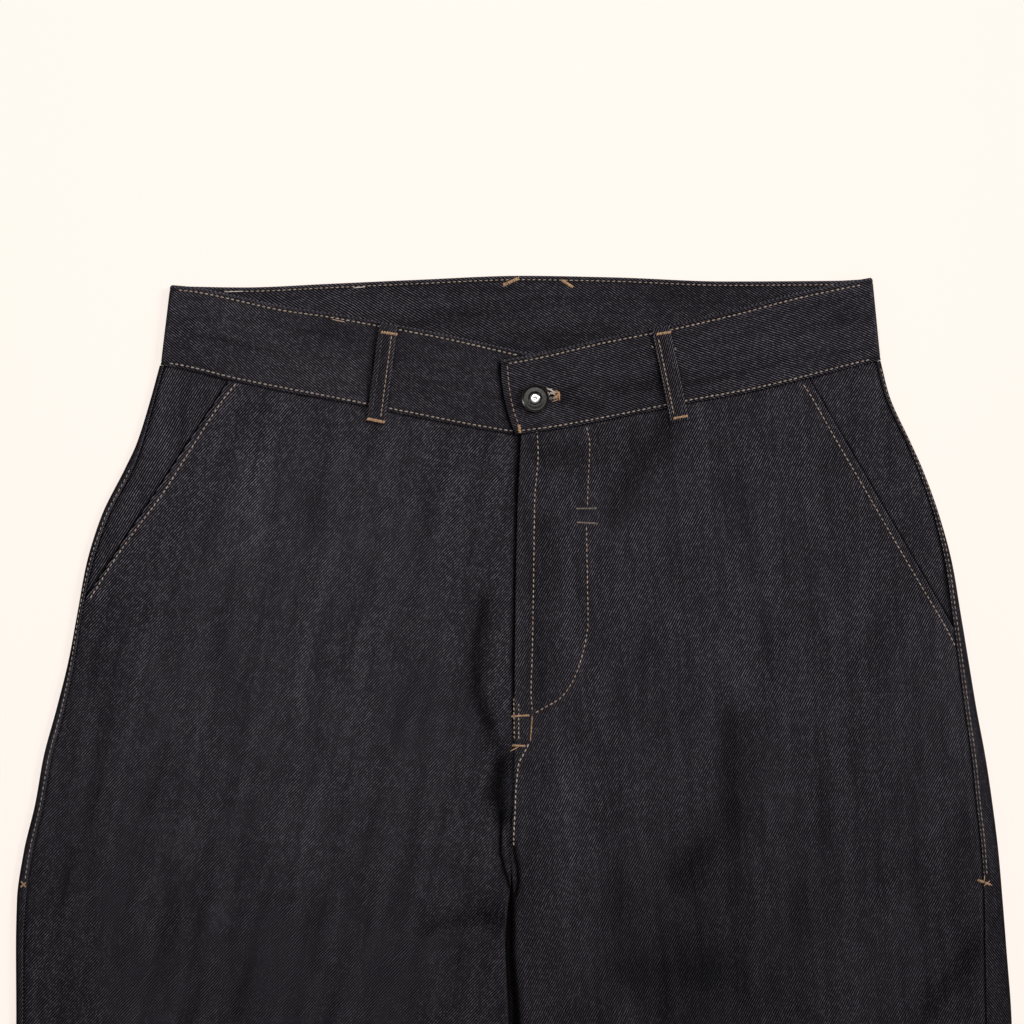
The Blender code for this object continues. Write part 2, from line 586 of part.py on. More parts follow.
def make_button(collection, ring_metal, stud_metal):
    """A tack button: a stud through the hole in the flap, and a ring round its shining middle."""
    neck_foot = BAND_TOP + SEAM_GAP
    flange = FLAP_TOP + SEAM_GAP
    ring_foot = flange + 0.9
    stud = (
        (0.0, ring_foot + 1.75), (0.7, ring_foot + 1.6), (1.0, ring_foot + 1.0), (2.0, ring_foot + 0.9),
        (2.8, ring_foot + 1.35), (3.1, ring_foot + 1.2), (3.1, flange + 0.6), (4.8, flange + 0.6),
        (4.8, flange), (1.8, flange), (1.8, neck_foot), (0.0, neck_foot),
    )
    ring = (
        (3.4, ring_foot + 1.7), (4.0, ring_foot + 2.05), (7.2, ring_foot + 2.2), (8.1, ring_foot + 2.0),
        (BUTTON_RADIUS, ring_foot + 1.5), (BUTTON_RADIUS, ring_foot + 0.5), (8.0, ring_foot),
        (3.4, ring_foot),
    )
    turned_piece("button_stud", stud, False, stud_metal, collection)
    turned_piece("button_ring", ring, True, ring_metal, collection)


def cut_buttonhole(band, cutters):
    """Cuts the keyhole through the flap alone: a round eye for the stud, and a slit beside it."""
    low, high = BAND_TOP + 0.15, FLAP_TOP + 1.0
    depth = (high - low) * METRES
    bpy.ops.mesh.primitive_cylinder_add(vertices=20, radius=HOLE_RADIUS * METRES, depth=depth)
    eye = bpy.context.active_object
    eye.location = (BUTTON_X * METRES, BUTTON_Y * METRES, (low + high) / 2 * METRES)
    bpy.ops.mesh.primitive_cube_add(size=1.0)
    slit = bpy.context.active_object
    slit.scale = (HOLE_LENGTH * METRES, SLIT_WIDTH * METRES, depth)
    slit.rotation_euler = (0.0, 0.0, HOLE_TILT)
    slit.location = (
        (BUTTON_X + math.cos(HOLE_TILT) * HOLE_LENGTH / 2) * METRES,
        (BUTTON_Y + math.sin(HOLE_TILT) * HOLE_LENGTH / 2) * METRES,
        (low + high) / 2 * METRES,
    )
    for cutter, name in ((eye, "buttonhole_eye"), (slit, "buttonhole_slit")):
        cutter.name = name
        for home in list(cutter.users_collection):
            home.objects.unlink(cutter)
        cutters.objects.link(cutter)
        cutter.hide_render = True
        cutter.display_type = "WIRE"
        cut = band.modifiers.new(name, "BOOLEAN")
        cut.operation = "DIFFERENCE"
        cut.object = cutter


def main():
    clear_scene()
    jeans = make_collection("wide_leg_jeans")
    cutters = make_collection("cutters")
    denim = make_material("denim", DENIM_COLOUR, 0.9, 0.0)
    gunmetal = make_material("gunmetal", GUNMETAL_COLOUR, 0.35, 1.0)
    nickel = make_material("nickel", NICKEL_COLOUR, 0.12, 1.0)

    cloth_piece("front_right", front_right_surface(), CLOTH, True, denim, jeans)
    cloth_piece("front_left", front_left_surface(), CLOTH, True, denim, jeans)
    right_back = back_surface(right_edge, right_seam, back_right_inner, right_waist_seam, -1)
    left_back = back_surface(left_edge, left_seam, back_left_inner, left_waist_seam, 1)
    cloth_piece("back_right", right_back, CLOTH, False, denim, jeans)
    cloth_piece("back_left", left_back, CLOTH, False, denim, jeans)
    facing = facing_surface(RIGHT_MOUTH, right_mouth, right_seam, right_waist_seam, RIGHT_FACING_FOLDS, -1)
    cloth_piece("pocket_facing_right", facing, CLOTH, True, denim, jeans)
    facing = facing_surface(LEFT_MOUTH, left_mouth, left_seam, left_waist_seam, LEFT_FACING_FOLDS, 1)
    cloth_piece("pocket_facing_left", facing, CLOTH, True, denim, jeans)
    band = cloth_piece("waistband", band_surface(), BAND, True, denim, jeans)
    cut_buttonhole(band, cutters)
    for loop, waist_seam in zip(LOOPS, (right_waist_seam, left_waist_seam)):
        cloth_piece(loop.name, loop_surface(loop, waist_seam), LOOP_CLOTH, True, denim, jeans)
    make_button(jeans, gunmetal, nickel)


main()
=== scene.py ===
# %% [markdown]
# # Wide-leg jeans, laid flat
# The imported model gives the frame: every cut piece as a plain solid, in metres, with +X to the wearer's
# left, +Y from the hems to the waist and +Z up from the table. Each cloth solid is replaced here by a finer
# sheet of the same form, with the creases, the folded edges, the stitches and the weave that the real one has.
# Sizes below are in millimetres, and the mesh helper turns them into metres.

# %% Load the frame
import math
from collections import namedtuple

import bpy
import numpy as np
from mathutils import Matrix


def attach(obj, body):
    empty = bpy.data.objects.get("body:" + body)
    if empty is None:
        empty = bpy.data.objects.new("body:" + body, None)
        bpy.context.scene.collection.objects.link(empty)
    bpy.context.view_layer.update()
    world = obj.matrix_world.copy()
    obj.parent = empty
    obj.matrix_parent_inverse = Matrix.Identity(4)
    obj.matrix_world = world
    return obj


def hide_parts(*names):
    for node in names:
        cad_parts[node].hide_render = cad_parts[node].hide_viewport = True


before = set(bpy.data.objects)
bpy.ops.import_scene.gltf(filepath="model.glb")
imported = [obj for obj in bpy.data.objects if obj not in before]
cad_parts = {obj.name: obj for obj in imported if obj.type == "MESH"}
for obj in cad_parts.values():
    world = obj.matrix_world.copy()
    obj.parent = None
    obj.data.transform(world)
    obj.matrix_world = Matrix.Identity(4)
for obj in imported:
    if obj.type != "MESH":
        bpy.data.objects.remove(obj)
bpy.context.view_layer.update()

MM = 0.001
dice = np.random.default_rng(7)
print("nodes:", ", ".join(sorted(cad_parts)))

# %% [markdown]
# ## The camera, the floor and the light
# The photograph is taken from straight above. The picture is 614 mm wide where the cloth lies, and its middle
# is 2.4 mm to the wearer's right of the centre and 414 mm up from it. A lens far from the cloth keeps the
# folds upright, as in a studio flat lay. The floor is a plain cream sheet. Most of its brightness is its own,
# as on a light table, so only a faint shadow is left beside the cloth.

# %% Camera
PICTURE = 614.4
CAMERA_UP = 2000.0
AIM = (-2.4, 414.2)
CLOTH_LEVEL = 4.5
SENSOR = 36.0
FARTHEST_SEEN = 20.0


def put_in_scene(name, data):
    """A new object that holds this data, linked to the scene."""
    made = bpy.data.objects.new(name, data)
    bpy.context.scene.collection.objects.link(made)
    return made


camera_data = bpy.data.cameras.new("camera")
camera_data.sensor_width = SENSOR
camera_data.lens = SENSOR * CAMERA_UP / PICTURE
camera_data.clip_end = FARTHEST_SEEN
camera = put_in_scene("camera", camera_data)
camera.location = (AIM[0] * MM, AIM[1] * MM, (CAMERA_UP + CLOTH_LEVEL) * MM)
bpy.context.scene.camera = camera
bpy.context.scene.view_settings.view_transform = "Standard"
print("lens", round(camera_data.lens, 1), "mm")

# %% Floor
FLOOR_SIZE = 4.0
FLOOR_LEVEL = -0.0004
CREAM_PAPER = {
    "Base Color": (0.16, 0.15, 0.14, 1.0), "Roughness": 1.0, "Specular IOR Level": 0.0,
    "Emission Color": (1.0, 0.906, 0.838, 1.0), "Emission Strength": 0.87,
}


def new_material(name, settings):
    """A material and its main shader, with these inputs set."""
    material = bpy.data.materials.new(name)
    material.use_nodes = True
    shader = material.node_tree.nodes["Principled BSDF"]
    for socket, value in settings.items():
        shader.inputs[socket].default_value = value
    return material, shader


corners = [(-1, -1), (1, -1), (1, 1), (-1, 1)]
floor_mesh = bpy.data.meshes.new("floor")
floor_mesh.from_pydata([(a * FLOOR_SIZE, b * FLOOR_SIZE, FLOOR_LEVEL) for a, b in corners], [], [(0, 1, 2, 3)])
floor_mesh.materials.append(new_material("cream_floor", CREAM_PAPER)[0])
floor = put_in_scene("floor", floor_mesh)

# %% [markdown]
# ## Soft light from one side
# The dark lines in the photograph lie on the photo-left of each raised edge: left of the fly, of the flap's
# end and of the belt loops. So the main light comes from the right, through a wide soft box. A sun with a
# wide angle makes that box, because it lights the garment's width alike. A lamp over the waist makes the band
# brighter than the legs, as in the photograph, and the rest comes from all round.

# %% Lights
KEY_TOWARDS = (0.76, 0.30, 0.62)
KEY_STRENGTH = 2.5
KEY_ANGLE = 16.0
KEY_COLOUR = (1.0, 0.985, 0.965)
ROOM_STRENGTH = 0.30
ROOM_COLOUR = (1.0, 0.985, 0.97, 1.0)
FILL_POWER = 2.8
FILL_PLACE = (0.0, 0.66, 0.80)
FILL_SIZE = 0.35

world = bpy.data.worlds.new("room")
world.use_nodes = True
background = world.node_tree.nodes["Background"]
background.inputs["Color"].default_value = ROOM_COLOUR
background.inputs["Strength"].default_value = ROOM_STRENGTH
bpy.context.scene.world = world

key_data = bpy.data.lights.new("key", "SUN")
key_data.energy = KEY_STRENGTH
key_data.angle = math.radians(KEY_ANGLE)
key_data.color = KEY_COLOUR
key = put_in_scene("key", key_data)
sideways, forward, up = KEY_TOWARDS
tilt = math.acos(up / math.hypot(sideways, forward, up))
key.rotation_euler = (tilt, 0.0, math.atan2(forward, sideways) + math.pi / 2)

fill_data = bpy.data.lights.new("fill", "AREA")
fill_data.energy = FILL_POWER
fill_data.size = FILL_SIZE
fill = put_in_scene("fill", fill_data)
fill.location = FILL_PLACE
print("key light", KEY_STRENGTH, "fill", FILL_POWER, "room", ROOM_STRENGTH)

# %% [markdown]
# ## Smooth lines through a few measured places
# A pattern maker draws a seam with a French curve through a few measured points. The same is done here: each
# edge is a short table, and one function draws a smooth line through it that never swings past the points.
# Rounded edges, grooves and soft fades are short formulas too, so they are written once, here.

# %% Smooth lines
def smooth_step(t):
    """0 below 0, 1 above 1, and an even S between them."""
    t = np.clip(t, 0.0, 1.0)
    return t * t * (3 - 2 * t)


def smooth_fall(t):
    """1 below 0, 0 above 1, and an even S between them."""
    return 1.0 - smooth_step(t)


def bell(distance, half_width):
    """A bell curve: e to the power of minus the square of distance over half_width."""
    return np.exp(-((distance / half_width) ** 2))


def quarter_round(share):
    """How high a rounded edge stands at this share of its width: a quarter circle from 0 up to 1."""
    return np.sqrt(1.0 - (1.0 - np.clip(share, 0.0, 1.0)) ** 2)


def through(stations, values):
    """A smooth function through the pairs that never overshoots: a cubic between each two stations,
    level at a turning point, with the harmonic mean of the slopes either side elsewhere."""
    stations, values = np.array(stations, float), np.array(values, float)
    order = np.argsort(stations)
    stations, values = stations[order], values[order]
    steps = np.diff(stations)
    slopes = np.diff(values) / steps
    before, after = slopes[:-1], slopes[1:]
    same_way = before * after > 0
    total = np.where(same_way, before + after, 1.0)
    middle = np.where(same_way, 2 * before * after / total, 0.0)
    tangents = np.concatenate([slopes[:1], middle, slopes[-1:]])

    def value_at(where):
        """The cubic between the two stations next to this place."""
        where = np.clip(where, stations[0], stations[-1])
        i = np.clip(np.searchsorted(stations, where) - 1, 0, len(steps) - 1)
        t = (where - stations[i]) / steps[i]
        bend = tangents[i] * (1 - t) - tangents[i + 1] * t
        rise = values[i] + (values[i + 1] - values[i]) * t * t * (3 - 2 * t)
        return rise + steps[i] * t * (1 - t) * bend

    return value_at


# %% The walls, the heights above the table and the rounded edges
CLOTH = 1.2
BAND = 2.4
LOOP_CLOTH = 1.6
SEAM_GAP = 0.3
FRONT_TOP = 4.4
BAND_TOP = 6.0
FLAP_TOP = 8.8
INSEAM_TOP = 1.7
LEAST_TOP = 2 * CLOTH + SEAM_GAP
UNDERLAP_TOP = LEAST_TOP + 0.05
FACING_TOP = FRONT_TOP - CLOTH - SEAM_GAP
INNER_ROLL = 2.2
SIDE_ROLL = FRONT_TOP / 2
BAND_ROLL = BAND_TOP / 2
HEM = -556.2
CROTCH = 192.0
ROLL_STARTS = 198.0
ROLL_ENDS = 176.0
FLY_FOOT = 300.0
FLY_UNDERLAP = 9.0

# %% The outline and the side seams
def table(row_type, *rows):
    """Rows with named columns."""
    return [row_type(*row) for row in rows]


def curve_of(rows, station, value):
    """A smooth line through two columns of a table: value as a function of station."""
    return through([getattr(row, station) for row in rows], [getattr(row, value) for row in rows])


Side = namedtuple("Side", "height right_edge right_strip left_edge left_strip")
SIDES = table(
    Side,
    (506.0, -212.8, 2.6, 218.5, 2.6), (484.0, -218.9, 2.6, 224.3, 2.6),
    (455.0, -228.0, 3.6, 237.5, 2.6), (440.0, -235.0, 5.0, 244.2, 2.7),
    (412.0, -248.9, 4.4, 254.3, 3.2), (383.0, -258.0, 3.6, 262.1, 4.2),
    (354.0, -263.4, 2.9, 267.0, 5.1), (325.0, -268.8, 3.7, 271.8, 5.9),
    (296.0, -276.0, 4.9, 276.6, 6.9), (267.0, -283.8, 5.0, 282.0, 8.3),
    (239.0, -288.8, 5.0, 286.2, 9.6), (210.0, -295.7, 5.4, 289.8, 10.1),
    (181.0, -299.8, 5.5, 292.3, 11.1), (152.0, -300.4, 4.6, 294.6, 12.9),
    (109.0, -300.2, 4.4, 297.7, 15.2), (0.0, -300.8, 4.4, 300.6, 14.0),
    (-250.0, -304.5, 4.2, 304.5, 11.0), (HEM, -310.0, 4.0, 310.0, 8.0),
)
side_heights = [side.height for side in SIDES]
right_edge, left_edge = curve_of(SIDES, "height", "right_edge"), curve_of(SIDES, "height", "left_edge")
right_seam = through(side_heights, [side.right_edge + side.right_strip for side in SIDES])
left_seam = through(side_heights, [side.left_edge - side.left_strip for side in SIDES])

Inner = namedtuple("Inner", "height right left")
INNERS = table(
    Inner,
    (462.0, 2.7, 3.0), (414.0, 0.45, 0.75), (359.0, -0.75, -0.45), (291.0, -1.35, -1.05),
    (250.0, -1.65, -1.35), (213.0, -3.35, -3.05), (CROTCH, -3.15, -2.2),
    (175.0, -5.2, -1.8), (155.0, -6.6, -2.0), (129.0, -5.4, -0.2), (108.0, -4.6, 1.6),
    (0.0, -8.0, 5.0), (-250.0, -22.0, 19.0), (HEM, -40.0, 38.0),
)
BACK_INNERS = table(
    Inner,
    (CROTCH, -3.0, -3.0), (152.0, -3.0, -3.0), (109.0, -1.5, -1.5),
    (60.0, -1.5, -1.5), (0.0, -6.0, 3.0), (-250.0, -22.0, 19.0), (HEM, -40.0, 38.0),
)
right_inner, left_inner = curve_of(INNERS, "height", "right"), curve_of(INNERS, "height", "left")
back_right_inner = curve_of(BACK_INNERS, "height", "right")
back_left_inner = curve_of(BACK_INNERS, "height", "left")
print("flat hip at 250 mm:", round(float(left_edge(250.0) - right_edge(250.0))), "mm")

# %% The waistband's edges in plan
Edge = namedtuple("Edge", "across up")
RIGHT_BAND_TOP = table(
    Edge,
    (-207.6, 550.5), (-192.0, 549.0), (-171.0, 544.8), (-139.8, 537.9),
    (-112.8, 534.0), (-83.4, 528.7), (-39.8, 520.4), (-10.2, 513.6), (27.0, 505.0),
)
RIGHT_WAIST_SEAM = table(
    Edge,
    (-213.4, 502.2), (-199.8, 500.1), (-167.4, 492.3), (-113.4, 481.8),
    (-66.0, 472.5), (-17.4, 463.2), (-0.6, 460.9), (12.0, 462.2), (27.0, 465.2),
)
LEFT_BAND_TOP = table(
    Edge,
    (-9.0, 505.2), (14.4, 509.5), (50.4, 518.1), (97.2, 527.7),
    (130.2, 535.5), (164.4, 544.8), (195.6, 551.7), (214.0, 555.0),
)
LEFT_WAIST_SEAM = table(
    Edge,
    (-0.3, 460.5), (21.0, 463.2), (60.0, 470.4), (103.2, 479.2),
    (140.4, 485.9), (172.2, 493.4), (195.6, 499.6), (218.9, 505.2),
)
BACK_BAND_TOP = table(
    Edge,
    (-207.6, 550.0), (-164.4, 549.2), (-111.6, 551.4), (-58.8, 553.8),
    (4.0, 556.2), (60.0, 555.2), (126.0, 552.8), (192.0, 553.2), (214.0, 554.4),
)
BACK_WAIST_SEAM = table(Edge, (-213.4, 502.2), (0.0, 503.6), (218.9, 505.2))
FLAP_END_BULGE = 2.4
FLAP_FREE_FROM = 31.0
FLAP_DOWN_BY = 66.0

right_band_top, left_band_top, back_band_top = (
    curve_of(edges, "across", "up") for edges in (RIGHT_BAND_TOP, LEFT_BAND_TOP, BACK_BAND_TOP)
)
right_waist_seam, left_waist_seam, back_waist_seam = (
    curve_of(edges, "across", "up") for edges in (RIGHT_WAIST_SEAM, LEFT_WAIST_SEAM, BACK_WAIST_SEAM)
)
print("waist seam at the centre back:", round(float(back_waist_seam(0.0)), 1), "mm up")

# %% The slanted pocket mouths
Mouth = namedtuple("Mouth", "across_at_waist foot")
RIGHT_MOUTH = Mouth(-171.8, 361.0)
LEFT_MOUTH = Mouth(175.6, 343.5)
FACING_HIDDEN = 15.0
FACING_FOOT = 338.0


def mouth_line(mouth, waist_seam, seam):
    """The pocket mouth's distance across, as a straight line up the garment from the side seam."""
    top = waist_seam(np.array(mouth.across_at_waist))
    foot_across = seam(mouth.foot) - np.sign(mouth.across_at_waist) * SEAM_GAP
    slope = (mouth.across_at_waist - foot_across) / (top - mouth.foot)

    def across_at(height):
        """The mouth's distance across at this height."""
        return foot_across + slope * (height - mouth.foot)

    return across_at


# %% The two halves of the garment
Half = namedtuple("Half", "side edge seam waist_seam mouth mouth_at back_inner")
RIGHT = Half(
    -1, right_edge, right_seam, right_waist_seam, RIGHT_MOUTH,
    mouth_line(RIGHT_MOUTH, right_waist_seam, right_seam), back_right_inner,
)
LEFT = Half(
    1, left_edge, left_seam, left_waist_seam, LEFT_MOUTH,
    mouth_line(LEFT_MOUTH, left_waist_seam, left_seam), back_left_inner,
)
print("pocket mouths at 450 mm:", [round(float(half.mouth_at(450.0))) for half in (RIGHT, LEFT)], "across")

# %% [markdown]
# ## Folds and small waves in the cloth
# Stiff raw denim laid on a table keeps a few long soft folds: troughs from the crotch to the thighs, ridges
# down the legs, and small waves everywhere. A simulation would need the real drape to settle right. Here each
# fold is a bell-shaped ridge or trough along a bent line that was laid beside the photograph, and the small
# waves are a sum of seeded sines, so the cloth comes out the same each time. The shades are painted shade and
# painted light: soft patches of the same form that only darken the colour, or lighten it where they are below 0.

# %% Folds
Fold = namedtuple("Fold", "path half_width height")
RIGHT_FOLDS = table(
    Fold,
    (((-19.8, 361), (-24.6, 331), (-24.6, 306), (-15.0, 275)), 5.5, -1.9),
    (((-9.0, 264), (-12.5, 245), (-8.5, 231)), 6.0, -2.0),
    (((-9.0, 233), (-9.4, 222), (-9.6, 210), (-7.4, 200), (-3.6, 188)), 1.2, -1.2),
    (((-30.0, 240), (-24.0, 215)), 9.0, 0.7),
    (((-38.4, 201), (-13.8, 168)), 6.0, -0.8),
    (((-53.4, 164), (-30.0, 172), (-10.0, 169)), 5.5, -1.5),
    (((-161.0, 440), (-171.0, 386)), 7.0, 1.5),
    (((-90.6, 436), (-94.8, 312)), 4.0, 0.6),
    (((-76.0, 448), (-81.6, 337)), 3.5, 0.5),
    (((-124.8, 386), (-130.8, 275)), 5.0, 0.7),
    (((-139.0, 240), (-146.0, 175)), 9.0, 0.8),
    (((-263.0, 312), (-272.0, 226), (-276.0, 150)), 4.0, -0.7),
    (((-248.0, 325), (-251.0, 262), (-258.0, 190)), 4.5, -0.7),
    (((-204.6, 201), (-214.0, 133)), 5.0, -1.1),
    (((-162.0, 150), (-168.0, 100)), 7.0, -0.8),
    (((-232.0, 100), (-240.0, -60), (-238.0, -220)), 18.0, 0.9),
    (((-100.0, 20), (-122.0, -180), (-118.0, -330)), 20.0, -1.2),
    (((-60.0, -60), (-72.0, -260), (-84.0, -470)), 20.0, 1.0),
    (((-190.0, -190), (-206.0, -350), (-204.0, -500)), 20.0, -1.1),
)
LEFT_FOLDS = table(
    Fold,
    (((-1.4, 216), (-0.6, 207), (0.8, 201), (1.3, 192), (-0.3, 184)), 1.2, -1.1),
    (((88.0, 462), (70.0, 436), (58.0, 412)), 9.0, -1.2),
    (((12.0, 449), (36.0, 446)), 7.0, -0.8),
    (((17.0, 410), (17.0, 312)), 6.0, -0.8),
    (((36.0, 368), (38.0, 343)), 5.0, -0.6),
    (((108.0, 345), (104.0, 250)), 11.0, 0.8),
    (((131.0, 286), (130.0, 262), (126.0, 236), (116.0, 215), (100.0, 196)), 11.0, -1.5),
    (((248.0, 352), (254.0, 300)), 6.0, 1.1),
    (((29.4, 270), (36.0, 225), (32.0, 195), (40.0, 140)), 9.0, 0.8),
    (((62.0, 138), (122.0, 140)), 12.0, -0.9),
    (((92.0, 176), (116.0, 108)), 38.0, -0.7),
    (((171.0, 178), (171.0, 163)), 10.0, -0.8),
    (((277.0, 155), (246.0, 115), (236.0, 84)), 8.0, -1.4),
    (((196.0, 150), (214.0, -20), (210.0, -200)), 16.0, 0.8),
    (((96.0, 40), (118.0, -160), (114.0, -330)), 20.0, -1.2),
    (((60.0, -80), (76.0, -280), (86.0, -460)), 20.0, 1.0),
    (((190.0, -170), (208.0, -330), (206.0, -500)), 20.0, -1.1),
)

# %% Painted shades, and the folds of the facings and the band
# Painted shade where the value is above 0, and painted light where it is below 0.
RIGHT_PAINTED_SHADES = table(
    Fold,
    (((-19.8, 356), (-24.6, 330), (-24.0, 306), (-14.5, 285)), 3.0, 0.45),
    (((-9.0, 262), (-12.0, 245), (-8.5, 232)), 4.5, 0.65),
    (((-138.0, 450), (-128.0, 250)), 75.0, -0.08),
    (((-152.0, 442), (-163.0, 392)), 8.0, -0.22),
    (((-116.0, 260), (-124.0, 205)), 9.0, -0.20),
)
LEFT_PAINTED_SHADES = table(
    Fold,
    (((30.0, 452), (86.0, 452)), 14.0, 0.20),
    (((14.0, 410), (13.0, 300)), 6.0, 0.15),
    (((80.0, 138), (122.0, 152)), 22.0, 0.12),
    (((258.0, 350), (274.0, 240)), 12.0, -0.20),
    (((232.0, 170), (258.0, 60)), 16.0, -0.18),
    (((34.0, 250), (22.0, 130)), 14.0, -0.12),
)
RIGHT_FACING_FOLDS = table(Fold, (((-210.0, 492.0), (-222.6, 450.6), (-236.4, 415.8)), 8.0, 0.8))
LEFT_FACING_FOLDS = table(Fold, (((214.0, 480.0), (236.0, 425.0)), 9.0, 0.4))
BAND_FOLDS = table(
    Fold,
    (((26.0, 480.5), (50.0, 478.0)), 3.5, -0.5),
    (((60.0, 487.0), (84.0, 492.0)), 6.0, -0.35),
)
BACK_BAND_FOLDS = table(
    Fold,
    (((14.0, 529.0), (74.0, 530.0)), 4.0, 0.4),
    (((-90.0, 541.0), (-20.0, 534.0)), 7.0, 0.3),
    (((96.0, 540.0), (160.0, 546.0)), 6.0, -0.3),
)


# %% Adding folds up
def fold_heights(folds, x, y):
    """The sum of the folds at each point. A fold is a bell across its bent line, and fades over its ends."""
    total = np.zeros_like(x)
    for fold in folds:
        nearest = np.full_like(x, np.inf)
        for start, end in zip(fold.path[:-1], fold.path[1:]):
            run_x, run_y = end[0] - start[0], end[1] - start[1]
            along = ((x - start[0]) * run_x + (y - start[1]) * run_y) / (run_x**2 + run_y**2)
            along = np.clip(along, 0.0, 1.0)
            away = np.hypot(x - start[0] - along * run_x, y - start[1] - along * run_y)
            nearest = np.minimum(nearest, away)
        total += fold.height * bell(nearest, fold.half_width)
    return total


# %% Small waves
WAVES = 18
wave_length = dice.uniform(16.0, 62.0, WAVES)
wave_turn = dice.uniform(0.0, math.pi, WAVES)
wave_phase = dice.uniform(0.0, 2 * math.pi, WAVES)
wave_height = 0.0022 * wave_length


def small_waves(x, y):
    """A sum of sines, each of its own length and direction, and taller where it is longer."""
    total = np.zeros_like(x)
    for length, turn, phase, height in zip(wave_length, wave_turn, wave_phase, wave_height):
        total += height * np.sin(2 * math.pi * (x * math.cos(turn) + y * math.sin(turn)) / length + phase)
    return total


probe = np.linspace(-250.0, 250.0, 400)
print("small waves, rms", round(float(small_waves(probe, probe * 0.7).std()), 2), "mm")

# %% [markdown]
# ## The two fronts
# Each front is one cut piece, from the waist seam to the hem. Its outside is a height above the table at each
# place, with the folds on it. Three things are pressed or sewn into it: the hem of the pocket mouth, which is
# doubled and stands a little proud, the fly, where the wearer's left front laps over the right one on a
# doubled facing, and the crotch seam below it, which is folded and sewn flat. Writing them as functions of
# the place lets the stitches find the same surface later.

# %% Heights of the fronts
FLY_CURVE = (
    (42.2, 465.6), (44.2, 454.2), (43.4, 436.0), (42.8, 417.6), (42.2, 405.6), (42.8, 372.6), (43.2, 348.0),
    (41.4, 335.4), (38.7, 324.6), (34.6, 313.8), (27.0, 303.0), (17.4, 297.0), (9.8, 292.8),
)
fly_curve = through([y for _, y in FLY_CURVE], [x for x, _ in FLY_CURVE])
HEM_DEPTH = 15.0
MOUTH_HEM = 5.5
MOUTH_STITCH = 3.3
MOUTH_PROUD = 0.35
HEM_PROUD = 0.4
FELL_WIDTH = 5.0
FLY_PROUD = 0.35
FLY_PRESSED = 16.0
FLY_CURVE_ENDS = 290.0
LIFT_STARTS = 412.0
LIFT_RUN = 46.0
CALM_BESIDE_MOUTH = 22.0
CALM_BESIDE_SEAM = 12.0
NOT_NEAR = 99.0


def roping(along, length=7.0):
    """The small slanting ripples that a sewn fold pulls up, as a height along the seam."""
    return np.sin(2 * math.pi * along / length + 1.3 * np.sin(along / 23.0)) + 0.4 * np.sin(along / 1.9)


def front_level(x, y, folds, half):
    """The level with its folds and waves. They fade beside the mouth and the side seam. The doubled hem of
    the mouth stands proud as far as its stitching, and so does the leg's hem."""
    foot = half.mouth.foot
    inside_mouth = np.abs(half.mouth_at(y)) - np.abs(x)
    beside_mouth = np.where(y > foot - 15.0, inside_mouth, NOT_NEAR)
    from_seam = np.abs(half.seam(y)) - np.abs(x)
    calm = smooth_step(beside_mouth / CALM_BESIDE_MOUTH) * smooth_step(from_seam / CALM_BESIDE_SEAM)
    z = FRONT_TOP + (fold_heights(folds, x, y) + small_waves(x, y)) * (0.15 + 0.85 * calm)
    doubled = smooth_fall((beside_mouth - MOUTH_HEM) / 2.0) * smooth_step((y - foot + 6.0) / 8.0)
    pulled = bell(beside_mouth - MOUTH_STITCH, 0.9) + 0.5 * bell(beside_mouth, 2.5)
    z += doubled * (MOUTH_PROUD + 0.10 * roping(y) - 0.22 * pulled)
    z += HEM_PROUD * smooth_fall((y - HEM - HEM_DEPTH - 1.0) / 3.0)
    dip = bell(from_seam, 2.6) * smooth_fall((y - foot + 4.0) / 6.0)
    return np.maximum(z - 0.9 * dip, LEAST_TOP + 0.1)


def rolled(top, y, away):
    """The height near a leg's inside edge, where the front rolls down to the back in a quarter ellipse."""
    how_far = smooth_step((ROLL_STARTS - y) / (ROLL_STARTS - ROLL_ENDS))
    return top - how_far * (top - INSEAM_TOP) * (1.0 - quarter_round(away / INNER_ROLL))


# %% Height of the right front
def right_front_height(x, y):
    """The wearer's right front. Beside the fly it is pressed down on to the back, under the other front."""
    z = front_level(x, y, RIGHT_FOLDS, RIGHT)
    beside_edge = smooth_fall((right_inner(y) - x - 0.5) / 8.0)
    pressed = beside_edge * smooth_step((y - FLY_FOOT + 22.0) / 18.0)
    z = z + (UNDERLAP_TOP - z) * pressed
    return rolled(z, y, right_inner(y) - x + NOT_NEAR * (y > ROLL_STARTS))


# %% Height of the left front
def left_front_height(x, y):
    """The wearer's left front: proud over the fly's facing with a groove under its curved line, lifted under
    the flap, doubled along the crotch seam, and rounded at its folded edge."""
    z = front_level(x, y, LEFT_FOLDS, LEFT)
    away = x - left_inner(y)
    beside_fly = smooth_fall((x - FLY_PRESSED) / FLY_PRESSED) * smooth_step((y - FLY_FOOT + 10.0) / 16.0)
    z = z + (np.maximum(z, FRONT_TOP) - z) * beside_fly
    beside_flap = smooth_fall((x - FLAP_FREE_FROM) / (FLAP_DOWN_BY - FLAP_FREE_FROM))
    z += (FLAP_TOP - BAND_TOP) * beside_flap * smooth_step((y - LIFT_STARTS) / LIFT_RUN)
    in_fly = smooth_fall((x - fly_curve(y) - 1.2) / 2.6) * smooth_step((y - FLY_CURVE_ENDS) / 4.0)
    z += in_fly * (FLY_PROUD + 0.05 * roping(y, 9.0))
    z -= 0.18 * bell(x - fly_curve(y), 0.9) * smooth_step((y - 296.0) / 6.0)
    felled = smooth_fall((away - FELL_WIDTH) / 3.0) * smooth_fall((y - FLY_FOOT) / 8.0)
    z += 0.3 * felled * smooth_step((y - 196.0) / 12.0) * (1.0 + 0.25 * roping(y, 8.0))
    z -= 0.6 * (1.0 - quarter_round(away / 0.8)) * smooth_step((y - 200.0) / 12.0)
    return rolled(z, y, away)


